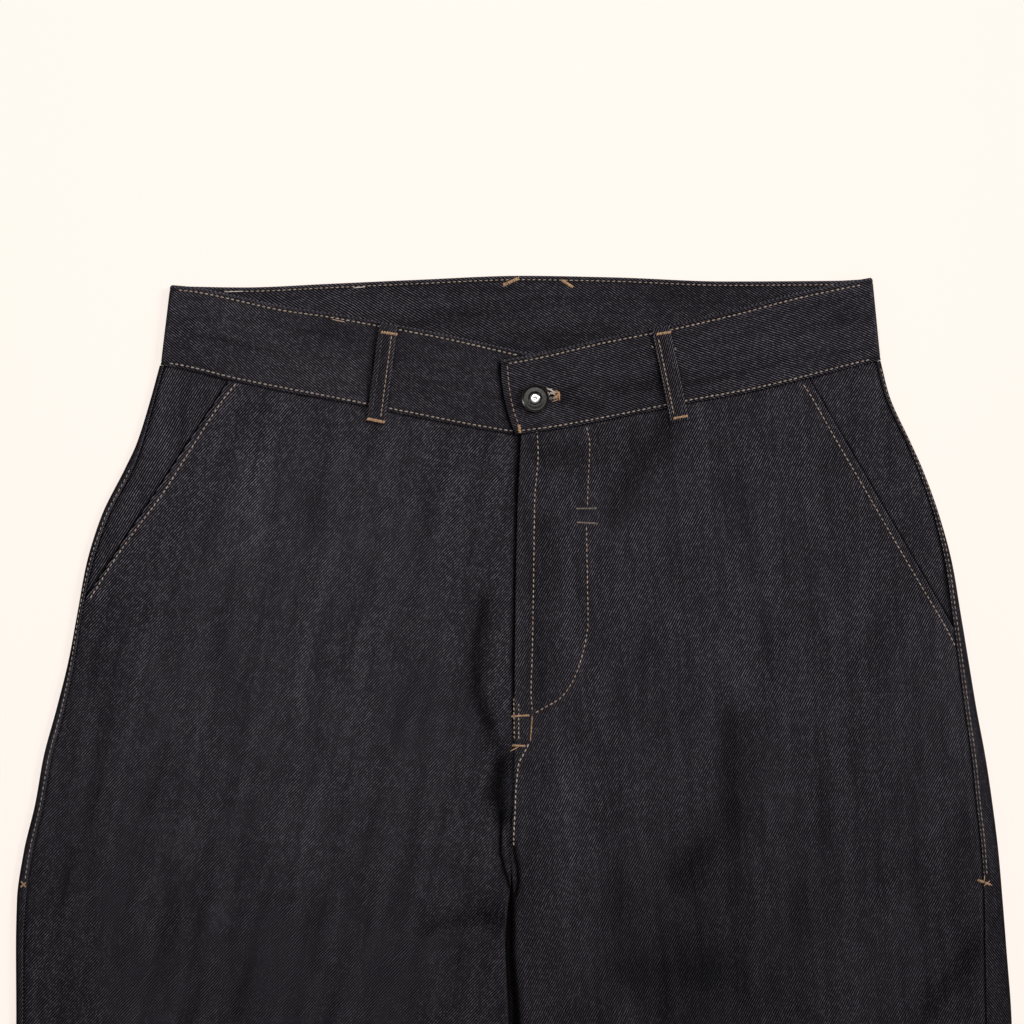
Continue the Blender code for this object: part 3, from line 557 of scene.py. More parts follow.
# %% [markdown]
# ## From a grid of points to a cloth piece
# Every cloth piece is a sheet of points in rows. A UV map in millimetres goes along with it, with v running
# along the warp, so that the weave follows the piece as it does on real cloth, round folds and turned edges.
# Solidify then gives the sheet its wall, inwards, and the side it looks to is set from the first face.

# %% Grid meshes
def grid_faces(rows, columns, round_columns=False):
    """The corners of each square of a grid. With round_columns the last column meets the first one."""
    last = columns if round_columns else columns - 1
    row, column = np.meshgrid(np.arange(rows - 1), np.arange(last), indexing="ij")
    after = (column + 1) % columns
    here, below = row * columns, (row + 1) * columns
    corners = (here + column, here + after, below + after, below + column)
    return np.stack([corner.reshape(-1) for corner in corners], axis=1)


# %% Tubes and bent lines
def end_caps(rows, around):
    """The two faces that close a tube of rings at its first and its last ring."""
    return [list(range(around))[::-1], [(rows - 1) * around + j for j in range(around)]]


def distances_along(points):
    """How far along a bent line each of its points lies."""
    return np.concatenate([[0.0], np.cumsum(np.linalg.norm(np.diff(points, axis=0), axis=1))])


def along_line(where, stations, values):
    """Each column of values, read between stations at the places asked for."""
    return np.stack([np.interp(where, stations, values[:, i]) for i in range(values.shape[1])], axis=-1)


# %% From points to an object
def new_piece(name, points, faces, uv, material, **values):
    """A mesh piece from points and faces, in millimetres, with a UV map that gives each point its place on
    the flat cloth. Each further value, one number a point, becomes an attribute of that name."""
    mesh = bpy.data.meshes.new(name)
    mesh.from_pydata((np.asarray(points, float).reshape(-1, 3) * MM).tolist(), [], [list(f) for f in faces])
    mesh.update()
    mesh.shade_smooth()
    if uv is not None:
        loops = np.empty(len(mesh.loops), np.int32)
        mesh.loops.foreach_get("vertex_index", loops)
        layer = mesh.uv_layers.new(name="cloth")
        layer.data.foreach_set("uv", np.asarray(uv, np.float32).reshape(-1, 2)[loops].reshape(-1))
    mesh.materials.append(material)
    for label, numbers in values.items():
        attribute = mesh.attributes.new(label, "FLOAT", "POINT")
        attribute.data.foreach_set("value", np.asarray(numbers, np.float32).reshape(-1))
    return put_in_scene(name, mesh)


# %% A cloth sheet with its wall
# Painted shade: how much darker the legs are made towards the hems, where the light falls off.
LOWER_LEG_PAINTED_SHADE = 0.27
DARKER_BELOW = 330.0
DARKENS_OVER = 230.0


def leg_painted_falloff(y):
    """Painted shade: the legs are made a little darker downwards, where the light falls off towards the hems."""
    return 1.0 - LOWER_LEG_PAINTED_SHADE * smooth_step((DARKER_BELOW - y) / DARKENS_OVER)


def cloth_sheet(name, x, y, z, uv, looks_up, material, tone, turned_edge):
    """A sheet of points in rows, turned the way it should look, with its wall inside it. tone is painted shade and
    light that darkens or lightens the dye, and turned_edge is 1 on a folded edge, where the pale weft comes to the
    surface."""
    faces = grid_faces(*x.shape)
    points = np.stack([x, y, z], axis=-1)
    a, b, c = (points.reshape(-1, 3)[faces[0][i]] for i in range(3))
    if (np.cross(b - a, c - a)[2] > 0) != looks_up:
        faces = faces[:, ::-1]
    piece = new_piece(name, points, faces.tolist(), uv, material, tone=tone, turned_edge=turned_edge)
    solid = piece.modifiers.new("wall", "SOLIDIFY")
    solid.thickness = CLOTH * MM
    solid.offset = -1.0
    solid.use_rim = True
    print(name, len(faces), "squares")
    return piece


# %% [markdown]
# ## Raw denim
# Denim is a three-one twill: the dark warp passes over two picks and under one, and the pale weft shows in
# the gaps, which step up one thread at a time and make the slanting lines. Here a thread is 0.5 mm across
# the warp and 0.81 mm along it, so the lines are 1.3 mm apart. One node group works out which thread is on
# top at each place and how high it stands, and a second gives the long streaks and soft patches that uneven
# yarn and dye leave. Both feed colour and bump alone, so the export can bake them.

# %% Helper for building node groups
class Tree:
    """Adds nodes to a node tree. Each call links its inputs and gives back the output."""

    def __init__(self, tree):
        self.tree = tree

    def node(self, kind, inputs, output=0, **settings):
        """Any node, with these inputs linked or set."""
        made = self.tree.nodes.new(kind)
        for setting, value in settings.items():
            setattr(made, setting, value)
        for place, value in inputs.items():
            if isinstance(value, bpy.types.NodeSocket):
                self.tree.links.new(value, made.inputs[place])
            else:
                made.inputs[place].default_value = value
        return made.outputs[output]

    def math(self, operation, *values):
        """One sum on numbers."""
        return self.node("ShaderNodeMath", dict(enumerate(values)), operation=operation)

    def times(self, *values):
        """The product of two numbers."""
        return self.math("MULTIPLY", *values)

    def plus(self, *values):
        """The sum of two numbers."""
        return self.math("ADD", *values)

    def vector(self, operation, *values):
        """One sum on vectors."""
        return self.node("ShaderNodeVectorMath", dict(enumerate(values)), operation=operation)

    def dimmed(self, colour, factor):
        """A colour or a vector times a number."""
        return self.node("ShaderNodeVectorMath", {0: colour, "Scale": factor}, operation="SCALE")

    def attribute(self, label):
        """A number that the piece's mesh carries at each of its points."""
        return self.node("ShaderNodeAttribute", {}, output=2, attribute_name=label)

    def bump(self, strength, distance, height):
        """The surface's direction, tilted as a relief of this height would tilt it."""
        return self.node("ShaderNodeBump", {"Strength": strength, "Distance": distance, "Height": height})

    def mix(self, share, low, high):
        """low where share is 0 and high where it is 1, for colours."""
        inputs = {0: share, 6: low, 7: high}
        return self.node("ShaderNodeMix", inputs, output=2, data_type="RGBA", clamp_factor=True)

    def wave(self, turns):
        """An even wave between 0 and 1, which is 1 at whole turns."""
        angle = self.times(turns, 2 * math.pi)
        return self.times(self.plus(self.math("COSINE", angle), 1.0), 0.5)

    def noise(self, place, scale, detail=2.0, output=0):
        """Soft random patches, as a number or, from output 1, as a colour."""
        inputs = {"Vector": place, "Scale": scale, "Detail": detail, "Roughness": 0.6}
        return self.node("ShaderNodeTexNoise", inputs, output=output)

    def range(self, value, low, high, new_low=0.0, new_high=1.0):
        """A number carried from one range to another, and kept inside it."""
        inputs = {0: value, 1: low, 2: high, 3: new_low, 4: new_high}
        return self.node("ShaderNodeMapRange", inputs, clamp=True)


# %% A node group to share
def new_group(name, inputs, outputs):
    """An empty shader node group with these sockets, what it is given, and what it gives back."""
    group = bpy.data.node_groups.new(name, "ShaderNodeTree")
    for socket, kind in inputs.items():
        group.interface.new_socket(name=socket, in_out="INPUT", socket_type=kind)
    for socket, kind in outputs.items():
        group.interface.new_socket(name=socket, in_out="OUTPUT", socket_type=kind)
    return group, group.nodes.new("NodeGroupInput").outputs, group.nodes.new("NodeGroupOutput").inputs


# %% The twill group
WARP_PITCH = 0.505
WEFT_PITCH = 0.81
REPEAT = 3.0
DASH_THREADS = 1.0
LINE_SHARPNESS = 3.6
DRIFT = 1.6
DOT_LOW = 0.6
RARELY_BRIGHT = 3.0
PLAIN_STRENGTH = 0.95


def twill_group():
    """Weft = ((1 + cos(2 pi k)) / 2) ** 3.6 across the twill lines, with k = (u - v) / 3 for warp thread u and
    pick v, times the dots where single picks come up, times a strength of its own for each dash of a line.
    Most dashes are dim and a few are bright, because the yarn is uneven. Relief is the height of the threads."""
    sockets = {"Cloth": "NodeSocketVector", "Uneven": "NodeSocketFloat"}
    results = {"Weft": "NodeSocketFloat", "Relief": "NodeSocketFloat"}
    group, given, out = new_group("twill", sockets, results)
    tree = Tree(group)
    link = group.links.new
    drift = tree.vector("SUBTRACT", tree.noise(given["Cloth"], 0.05, 1.0, output=1), (0.5, 0.5, 0.5))
    parts = tree.tree.nodes.new("ShaderNodeSeparateXYZ")
    link(tree.vector("ADD", given["Cloth"], tree.dimmed(drift, DRIFT)), parts.inputs[0])
    u = tree.math("DIVIDE", parts.outputs[0], WARP_PITCH)
    v = tree.math("DIVIDE", parts.outputs[1], WEFT_PITCH)
    across = tree.math("DIVIDE", tree.math("SUBTRACT", u, v), REPEAT)
    line = tree.math("ROUND", across)
    along = tree.math("SUBTRACT", tree.times(tree.plus(u, v), 0.5), tree.times(line, REPEAT / 2))
    lobe = tree.math("POWER", tree.wave(across), LINE_SHARPNESS)
    dots = tree.range(tree.wave(along), 0.0, 1.0, DOT_LOW, 1.0)
    dash = tree.math("FLOOR", tree.math("DIVIDE", along, DASH_THREADS))
    cell = tree.node("ShaderNodeCombineXYZ", {0: line, 1: dash, 2: 0.5})
    luck = tree.node("ShaderNodeTexWhiteNoise", {"Vector": cell}, noise_dimensions="3D")
    lucky = tree.math("SUBTRACT", tree.math("POWER", luck, RARELY_BRIGHT), 1.0 / (RARELY_BRIGHT + 1.0))
    strength = tree.plus(tree.times(lucky, given["Uneven"]), PLAIN_STRENGTH)
    link(tree.times(tree.times(lobe, dots), strength), out["Weft"])
    link(tree.times(tree.math("SUBTRACT", dots, lobe), 0.4), out["Relief"])
    return group


# %% The streak group
STREAKS = (((0.09, 0.009, 1.0), 0.55), ((0.35, 0.02, 1.0), 0.25))
PATCH_SCALE, PATCH_WEIGHT = 0.035, 0.20


def streak_group():
    """Long streaks along the warp, and soft patches, as one factor about 1."""
    group, given, out = new_group("streaks", {"Cloth": "NodeSocketVector"}, {"Factor": "NodeSocketFloat"})
    tree = Tree(group)
    weighted = [
        tree.times(tree.noise(tree.vector("MULTIPLY", given["Cloth"], stretch), 1.0), weight)
        for stretch, weight in STREAKS
    ]
    patches = tree.times(tree.noise(given["Cloth"], PATCH_SCALE, 3.0), PATCH_WEIGHT)
    total = tree.plus(tree.plus(*weighted), patches)
    group.links.new(tree.range(total, 0.36, 0.64, 0.60, 1.40), out["Factor"])
    return group


twill, streaks = twill_group(), streak_group()

# %% The denim materials
WARP_DYE = (0.0024, 0.0020, 0.0030)
WEFT_COTTON = (0.128, 0.116, 0.139)
WEFT_SHARE = 0.8
EDGE_WEAR = 1.6


def denim_material(name, offset, tone=1.0, turn=0.0, uneven=1.2):
    """Dark warp with the pale weft in the twill's gaps. offset moves the pattern, so no two pieces match, and
    turn is how far in degrees the warp leans from the piece's own length.
    The piece's own attributes paint shade and light on the dye, and bring out the weft on a folded edge."""
    material, shader = new_material(name, {"Roughness": 0.9, "Specular IOR Level": 0.03})
    tree = Tree(material.node_tree)
    link = material.node_tree.links.new
    uv = tree.node("ShaderNodeUVMap", {}, uv_map="cloth")
    leaning = {"Vector": uv, "Angle": math.radians(turn)}
    cloth = tree.node("ShaderNodeVectorRotate", leaning, rotation_type="Z_AXIS")
    cloth = tree.vector("ADD", cloth, (*offset, 0.0))
    weave, yarn = (tree.tree.nodes.new("ShaderNodeGroup") for _ in range(2))
    weave.node_tree, yarn.node_tree = twill, streaks
    link(cloth, weave.inputs["Cloth"])
    link(cloth, yarn.inputs["Cloth"])
    weave.inputs["Uneven"].default_value = uneven
    shown = tree.times(weave.outputs["Weft"], yarn.outputs["Factor"])
    shown = tree.times(shown, tree.plus(tree.times(tree.attribute("turned_edge"), EDGE_WEAR), 1.0))
    warp, weft = (tuple(tone * part for part in dye) + (1.0,) for dye in (WARP_DYE, WEFT_COTTON))
    colour = tree.mix(tree.times(shown, WEFT_SHARE), warp, weft)
    # Painted shade and light: the tone attribute scales the base colour.
    link(tree.dimmed(colour, tree.attribute("tone")), shader.inputs["Base Color"])
    link(tree.bump(0.5, 0.0002, weave.outputs["Relief"]), shader.inputs["Normal"])
    return material


# %% One denim for each piece
# Painted light and shade: the tone of each copy makes the same denim lighter on the right front, and darker on the
# band and the loops.
denim_for = {
    "front_right": denim_material("denim_front_right", (0.0, 0.0), tone=1.06, turn=11.0, uneven=1.5),
    "front_left": denim_material("denim_front_left", (1371.0, 411.0), turn=-4.0),
    "back_right": denim_material("denim_back_right", (2903.0, 97.0)),
    "back_left": denim_material("denim_back_left", (4211.0, 733.0)),
    "facings": denim_material("denim_facings", (517.0, 1901.0)),
    "band": denim_material("denim_band", (811.0, 2503.0), tone=0.92),
    "loops": denim_material("denim_loops", (77.0, 3301.0), tone=0.92),
}
print(len(denim_for), "denim materials share", len(twill.nodes) + len(streaks.nodes), "group nodes")

# %% [markdown]
# ## Cutting the fronts
# The rows of a front slant near the pocket mouth and run level below it, so that one grid fits the slanted
# mouth, the waist seam and the leg. The columns are closer together beside the fly and the side seam, where
# the edges are folded and rolled.

# %% Rows and columns of a front
SLANTED_ROWS = 84
FINE_STEP = 1.75
COARSE_STEP = 6.5
BELOW_VIEW = 96.0
START_OF_LEVEL_ROWS = 322.0
HEM_ROWS = 8
MIDDLE_COLUMNS = 104
OUTER_COLUMNS = 7
BENT_ROWS = 70
FLY_TOP = 460.0
NEAR_EDGE = np.array([0.0, 0.1, 0.3, 0.6, 1.0, 1.5, 2.2, 2.9, 3.6, 4.3, 5.0, 5.7, 6.4, 7.1, 7.8, 8.8, 10.0])


def level_rows():
    """Level heights from the pocket down to the hem: close where the photograph shows them, then wider."""
    fine = np.arange(START_OF_LEVEL_ROWS, BELOW_VIEW, -FINE_STEP)
    coarse = np.linspace(BELOW_VIEW, HEM + HEM_DEPTH + 3.0, int((BELOW_VIEW - HEM) / COARSE_STEP))
    hem = np.linspace(HEM + HEM_DEPTH + 1.0, HEM, HEM_ROWS)
    return np.concatenate([fine, coarse, hem])


# %% The grid of a front
def outer_edge(half, y):
    """A front's outside edge: the pocket mouth, and the side seam below it."""
    return np.where(y > half.mouth.foot, half.mouth_at(y), half.seam(y) - half.side * SEAM_GAP)


def front_grid(half, inner_at):
    """A front's points in plan. inner_at gives the inside edge's distance across at a height. The top row
    follows the waist seam, and that bend fades over the rows below it."""
    inner_top = float(half.waist_seam(inner_at(FLY_TOP))) - SEAM_GAP
    outer_top = float(half.waist_seam(half.mouth.across_at_waist)) - SEAM_GAP
    slant = np.linspace(0.0, 1.0, SLANTED_ROWS + 1)[:-1]
    level = level_rows()
    inner_y = np.concatenate([inner_top + (START_OF_LEVEL_ROWS - inner_top) * slant, level])
    outer_y = np.concatenate([outer_top + (START_OF_LEVEL_ROWS - outer_top) * slant, level])
    inner_x, outer_x = inner_at(inner_y), outer_edge(half, outer_y)
    near_inner = NEAR_EDGE[None, :]
    near_outer = NEAR_EDGE[:OUTER_COLUMNS][None, ::-1]
    width = np.abs(outer_x - inner_x)[:, None]
    middle = np.linspace(0.0, 1.0, MIDDLE_COLUMNS)[None, 1:-1]
    low, high = near_inner[:, -1:], width - near_outer[:, :1]
    along = np.hstack([near_inner + 0 * width, low + (high - low) * middle, width - near_outer])
    x = inner_x[:, None] + half.side * along
    y = inner_y[:, None] + (outer_y - inner_y)[:, None] * (along / width)
    bend = half.waist_seam(x[0]) - SEAM_GAP - y[0]
    y[:BENT_ROWS] += smooth_fall(np.linspace(0.0, 1.0, BENT_ROWS))[:, None] * bend[None, :]
    return x, y


# %% How dark the folds are, and the lapped edge
CREASE = 2.0
SEAM_PAINTED_SHADE = 0.55
# Painted shade in troughs and creases, and painted light on ridges.
TROUGH_PAINTED_SHADE = 0.40
RIDGE_PAINTED_LIGHT = 0.20
CREASE_PAINTED_SHADE = 0.92


def right_inner_lapped(y):
    """The right front's inside edge, which runs on under the left one at the fly."""
    return right_inner(y) + FLY_UNDERLAP * smooth_step((y - FLY_FOOT) / 14.0)


# %% Painted shade and light in the folds
def painted_fold_shade(folds, x, y):
    """Painted shade in a trough and painted light on a ridge: darker where the cloth faces away from the light,
    and a little lighter where it faces it. A narrow trough is a crease that the light does not reach, painted
    dark."""
    depth = fold_heights([fold for fold in folds if fold.half_width > CREASE], x, y)
    creased = fold_heights([fold for fold in folds if fold.half_width <= CREASE], x, y)
    trough, ridge = np.clip(-depth / 1.4, 0.0, 1.6), np.clip(depth / 1.2, 0.0, 1.2)
    return (1.0 - TROUGH_PAINTED_SHADE * trough + RIDGE_PAINTED_LIGHT * ridge) * (1.0 - CREASE_PAINTED_SHADE * np.clip(-creased, 0.0, 1.0))


# %% Cut a front
def cut_front(name, half, inner_at, height_at, folds, shades, edge_painted_shade):
    """One front as a sheet, from its grid in plan and its height function. Painted shade darkens it down the leg,
    in troughs, creases, painted shade patches and beside the seams, painted light lifts the ridges, and the
    mouth's folded edge is worn pale."""
    x, y = front_grid(half, inner_at)
    uv = np.stack([x, y], axis=-1)
    # Painted shade and light: darker down the legs, in troughs, creases, patches and at the inside edge, lighter
    # on ridges.
    tone = leg_painted_falloff(y) * painted_fold_shade(folds, x, y) * edge_painted_shade(x, y) * (1.0 - fold_heights(shades, x, y))
    at_mouth = bell(np.abs(half.mouth_at(y)) - np.abs(x), 0.5) * (y > half.mouth.foot)
    from_seam = np.abs(half.seam(y)) - np.abs(x)
    # Painted shade in the crease beside the side seam's raised strip.
    tone *= 1.0 - SEAM_PAINTED_SHADE * bell(from_seam, 1.5) * (y < half.mouth.foot)
    return cloth_sheet(name + "_cloth", x, y, height_at(x, y), uv, True, denim_for[name], tone, at_mouth)


# %% Painted shade at the inside edges, and the two fronts
def under_fly_painted_shadow(x, y):
    """Painted shadow: light hardly reaches the right front in the narrow shelter of the fly's edge."""
    beside = smooth_fall((left_inner(y) - x - 0.9) / 1.3)
    deeper = 0.6 + 0.4 * smooth_step((y - 270.0) / 30.0)
    return 1.0 - 0.95 * beside * deeper * smooth_step((y - 198.0) / 20.0)


def inseam_painted_shade(x, y):
    """Painted shade: the left leg is darker where it turns down to its inseam, away from the light."""
    beside = bell(x - left_inner(y), 3.5)
    return 1.0 - 0.6 * beside * smooth_fall((y - 180.0) / 20.0)


front_right = cut_front(
    "front_right", RIGHT, right_inner_lapped, right_front_height, RIGHT_FOLDS, RIGHT_PAINTED_SHADES, under_fly_painted_shadow,
)
front_left = cut_front("front_left", LEFT, left_inner, left_front_height, LEFT_FOLDS, LEFT_PAINTED_SHADES, inseam_painted_shade)

# %% [markdown]
# ## The backs
# Each back lies flat under its front and comes round the side, over the top, to the side seam. That seam is
# sewn with the allowances to the back and topstitched, so a ridge runs along it, rippled where the stitches
# pull, and its folded edge stands a little over the front.

# %% Sections of a back
STRIP_PROUD = 0.35
ROUND_STEPS = 12
STRIP_STEPS = 9
FLAT_STEPS = 44
UPPER_ROWS = 86
TOP_ROWS = 12
TOP_EDGE_GAP = 0.05
SEAM_TOP = 503.0
CENTRE_AT_CROTCH = -3.0
CENTRE_AT_WAIST = 1.0


def strip_ridge(from_seam, y):
    """How far the seam ridge stands over the plain level, at a distance from the folded edge."""
    bulge = STRIP_PROUD * smooth_fall((from_seam - 3.0) / 2.5)
    edge = 0.45 * (1.0 - quarter_round(from_seam / 0.6))
    groove = 0.14 * bell(from_seam - 2.0, 0.6)
    return bulge - edge - groove + 0.10 * bell(from_seam - 1.4, 1.4) * roping(y)


def strip_height(x, y, half):
    """The height of a back's strip on top, between the outline and the side seam."""
    from_outline = np.clip((np.abs(half.edge(y)) - np.abs(x)) / SIDE_ROLL, 0.0, 1.0)
    level = SIDE_ROLL + SIDE_ROLL * quarter_round(from_outline)
    from_seam = np.abs(x) - np.abs(half.seam(y))
    return level + strip_ridge(from_seam, y) * smooth_step(from_outline)


# %% The grid of a back
def lower_waist_seam(half, x):
    """The lower of the two waist seams, where a back or a facing meets the band."""
    return np.minimum(half.waist_seam(x), back_waist_seam(x))


def back_grid(half):
    """A back's points from the waist seam to the hem, each row a section: flat on the table, half round the
    side, and over the top to the seam. Also each row's start and its place on the outline."""
    top = float(lower_waist_seam(half, half.seam(SEAM_TOP))) - SEAM_GAP
    level = np.concatenate([np.linspace(top, START_OF_LEVEL_ROWS, UPPER_ROWS)[:-1], level_rows()])
    above = np.clip((level - CROTCH) / (top - CROTCH), 0.0, 1.0)
    centre_back = CENTRE_AT_CROTCH + (CENTRE_AT_WAIST - CENTRE_AT_CROTCH) * above
    start = np.where(level > CROTCH, centre_back, half.back_inner(level))[:, None]
    outline = half.edge(level)[:, None]
    centre = outline - half.side * SIDE_ROLL
    flat = start + (centre - start) * np.linspace(0.0, 1.0, FLAT_STEPS)[None, :-1]
    turn = np.radians(np.linspace(-90.0, 90.0, ROUND_STEPS))[None, :]
    share = 1.0 - (1.0 - np.linspace(0.0, 1.0, STRIP_STEPS)[None, 1:]) ** 2
    strip_x = centre + (half.seam(level)[:, None] - centre) * share
    x = np.hstack([flat, centre + half.side * SIDE_ROLL * np.cos(turn), strip_x])
    y = level[:, None] + 0 * x
    z = np.hstack([0 * flat, SIDE_ROLL + SIDE_ROLL * np.sin(turn) + 0 * centre, 0 * strip_x + FRONT_TOP])
    z = np.where(z > SIDE_ROLL, strip_height(x, y, half), z)
    top_edge = np.where(z[:1] > 0.0, lower_waist_seam(half, x[:1]), back_waist_seam(x[:1])) - TOP_EDGE_GAP
    y[:TOP_ROWS] += smooth_fall(np.linspace(0.0, 1.0, TOP_ROWS))[:, None] * (top_edge - y[:1])
    return x, y, z, start, outline


# %% Cut the two backs
def cut_back(name, half):
    """One back as a sheet. The weave follows the section. Painted shade makes it darker down the legs, in the gap
    between the legs, and where the cloth turns down at the outline."""
    x, y, z, start, outline = back_grid(half)
    length = np.hypot(np.diff(x, axis=1), np.diff(z, axis=1))
    u = np.hstack([0 * start, np.cumsum(length, axis=1)]) + start * half.side
    turned_edge = (z > SIDE_ROLL) * bell(np.abs(x) - np.abs(half.seam(y)), 0.5)
    beside_inseam = smooth_fall((np.abs(x - start) - 9.0) / 3.0)
    # Painted shade: the deep gap between the legs and the turn at the outline are made dark, and the legs darker
    # down.
    painted_shade_between_legs = beside_inseam * smooth_step((CROTCH + 12.0 - y) / 12.0)
    painted_shade_at_outline = (z > 0.5 * SIDE_ROLL) * bell(np.abs(outline) - np.abs(x), 2.2)
    tone = leg_painted_falloff(y) * (1.0 - 0.85 * painted_shade_between_legs) * (1.0 - 0.6 * painted_shade_at_outline)
    uv = np.stack([u, y], axis=-1)
    return cloth_sheet(name + "_cloth", x, y, z, uv, False, denim_for[name], tone, turned_edge)


back_right, back_left = cut_back("back_right", RIGHT), cut_back("back_left", LEFT)

# %% [markdown]
# ## The pocket facings
# A slanted jeans pocket shows a piece of the same denim between its mouth and the side seam. It lies lower
# than the front, so the mouth's doubled edge shows as a step, and it runs on under the front out of sight.

# %% The facings
FACING_ROWS = 96
FACING_COLUMNS = 40


def cut_facing(name, half, ridge):
    """Low under the front, and rising with a soft ridge to the side seam. It is dark beside the mouth, where
    the front's doubled edge keeps off the light."""
    outer_top = float(lower_waist_seam(half, half.seam(SEAM_TOP))) - SEAM_GAP
    inner_top = float(half.waist_seam(half.mouth.across_at_waist - half.side * FACING_HIDDEN)) - SEAM_GAP
    share = np.linspace(0.0, 1.0, FACING_ROWS)
    outer_y = outer_top + (FACING_FOOT - outer_top) * share
    inner_y = inner_top + (FACING_FOOT - inner_top) * share
    inner_x = half.mouth_at(inner_y) - half.side * FACING_HIDDEN
    outer_x = half.seam(outer_y) - half.side * SEAM_GAP
    u = np.linspace(0.0, 1.0, FACING_COLUMNS)[None, :]
    x = inner_x[:, None] + (outer_x - inner_x)[:, None] * u
    y = inner_y[:, None] + (outer_y - inner_y)[:, None] * u
    y += smooth_fall(share * 2.0)[:, None] * (half.waist_seam(x[:1]) - TOP_EDGE_GAP - y[:1])
    shows = half.side * (x - half.mouth_at(y)) - 2.0
    from_seam = np.abs(half.seam(y)) - np.abs(x)
    z = FACING_TOP + (FRONT_TOP - FACING_TOP) * smooth_step(shows / 30.0)
    z += (fold_heights(ridge, x, y) + small_waves(x, y)) * smooth_step(shows / 12.0) * (1.0 - u**6)
    z -= 0.7 * bell(from_seam, 2.6) * smooth_step(shows / 12.0)
    # Painted shade and light of the ridge, painted shade beside the seam, and a painted shadow beside the mouth.
    tone = painted_fold_shade(ridge, x, y) * (1.0 - SEAM_PAINTED_SHADE * bell(from_seam, 1.5))
    tone *= 1.0 - 0.9 * smooth_fall((shows + 1.2) / 1.6)
    uv = np.stack([x, y], axis=-1)
    return cloth_sheet(name + "_cloth", x, y, z, uv, True, denim_for["facings"], tone, 0 * x)


facing_right = cut_facing("pocket_facing_right", RIGHT, RIGHT_FACING_FOLDS)
facing_left = cut_facing("pocket_facing_left", LEFT, LEFT_FACING_FOLDS)

# %% [markdown]
# ## The waistband
# The band is one long strip folded along its top edge and sewn shut along the waist seam. It starts at the
# flap with the buttonhole, goes round the wearer's left side, across the back, and ends under the flap. So
# it is made as a closed section, 47 mm deep and 2.4 mm thick with a round fold at the top, carried along that
# path. The section sinks along its two lines of stitches and swells between them and the edge.

# %% The path of the band
HOLE_STARTS = 7.2
HOLE_ENDS = 23.6
FLAP_RUN = 223.0
FLAP_STATIONS = 112
BACK_STATIONS = 120
TURN_STATIONS = 16
flap_shares = np.unique(np.round(np.concatenate([
    np.array([0.0, 0.12, 0.35, 0.7, 1.2, 2.0]) / FLAP_RUN, np.linspace(0.0, 1.0, FLAP_STATIONS),
    (np.arange(HOLE_STARTS, HOLE_ENDS + 0.1, 0.4) - LEFT_BAND_TOP[0].across) / (FLAP_RUN - 3.0),
]), 5))


def band_path():
    """At each station: the point on the fold, the point on the waist seam, the outward direction, and how
    far the flap's end bulges there. It runs along the flap and the left front, round the left side, across
    the back, round the right side and along the right front."""
    rows = []

    def add(top_x, top_y, foot_x, foot_y, z, turn, side, bulge=0.0):
        """One station, which faces the turn: up at a quarter turn, and down at minus a quarter."""
        facing = (side * math.cos(turn), 0.0, math.sin(turn))
        rows.append(((top_x, top_y, z), (foot_x, foot_y, z), facing, bulge))

    def add_turn(top_edge, foot_edge, band_top, waist_seam, turns):
        """The stations round a side, where the band goes over from front to back in a half circle."""
        side = np.sign(top_edge.across)
        for turn in turns:
            front = (1.0 + math.sin(turn)) / 2
            inward = -side * BAND_ROLL * (1.0 - math.cos(turn))
            top_x, foot_x = top_edge.across + inward, foot_edge.across + inward
            top_y = band_top(top_x) * front + back_band_top(top_x) * (1.0 - front)
            foot_y = waist_seam(foot_x) * front + back_waist_seam(foot_x) * (1.0 - front)
            add(top_x, top_y, foot_x, foot_y, BAND_TOP * front, turn, side)

    quarter = math.pi / 2
    turns = np.linspace(quarter, -quarter, TURN_STATIONS)
    left_top, left_foot = (edges[-1].across - BAND_ROLL for edges in (LEFT_BAND_TOP, LEFT_WAIST_SEAM))
    right_top, right_foot = (edges[0].across + BAND_ROLL for edges in (RIGHT_BAND_TOP, RIGHT_WAIST_SEAM))
    for share in flap_shares[:-1]:
        top_x = LEFT_BAND_TOP[0].across + (left_top - LEFT_BAND_TOP[0].across) * share
        foot_x = LEFT_WAIST_SEAM[0].across + (left_foot - LEFT_WAIST_SEAM[0].across) * share
        down = smooth_step((top_x - FLAP_FREE_FROM) / (FLAP_DOWN_BY - FLAP_FREE_FROM))
        z = FLAP_TOP + (BAND_TOP - FLAP_TOP) * down
        bulge = FLAP_END_BULGE * max(0.0, 1.0 - 5.0 * share)
        add(top_x, left_band_top(top_x), foot_x, left_waist_seam(foot_x), z, quarter, 1, bulge)
    add_turn(LEFT_BAND_TOP[-1], LEFT_WAIST_SEAM[-1], left_band_top, left_waist_seam, turns)
    for share in np.linspace(0.0, 1.0, BACK_STATIONS)[1:-1]:
        top_x = left_top + (right_top - left_top) * share
        foot_x = left_foot + (right_foot - left_foot) * share
        add(top_x, back_band_top(top_x), foot_x, back_waist_seam(foot_x), 0.0, -quarter, 1)
    add_turn(RIGHT_BAND_TOP[0], RIGHT_WAIST_SEAM[0], right_band_top, right_waist_seam, turns[::-1])
    for share in np.linspace(0.0, 1.0, BACK_STATIONS)[1:]:
        top_x = right_top + (RIGHT_BAND_TOP[-1].across - right_top) * share
        foot_x = right_foot + (RIGHT_WAIST_SEAM[-1].across - right_foot) * share
        add(top_x, right_band_top(top_x), foot_x, right_waist_seam(foot_x), BAND_TOP, quarter, -1)
    return tuple(np.array([row[i] for row in rows], float) for i in range(4))


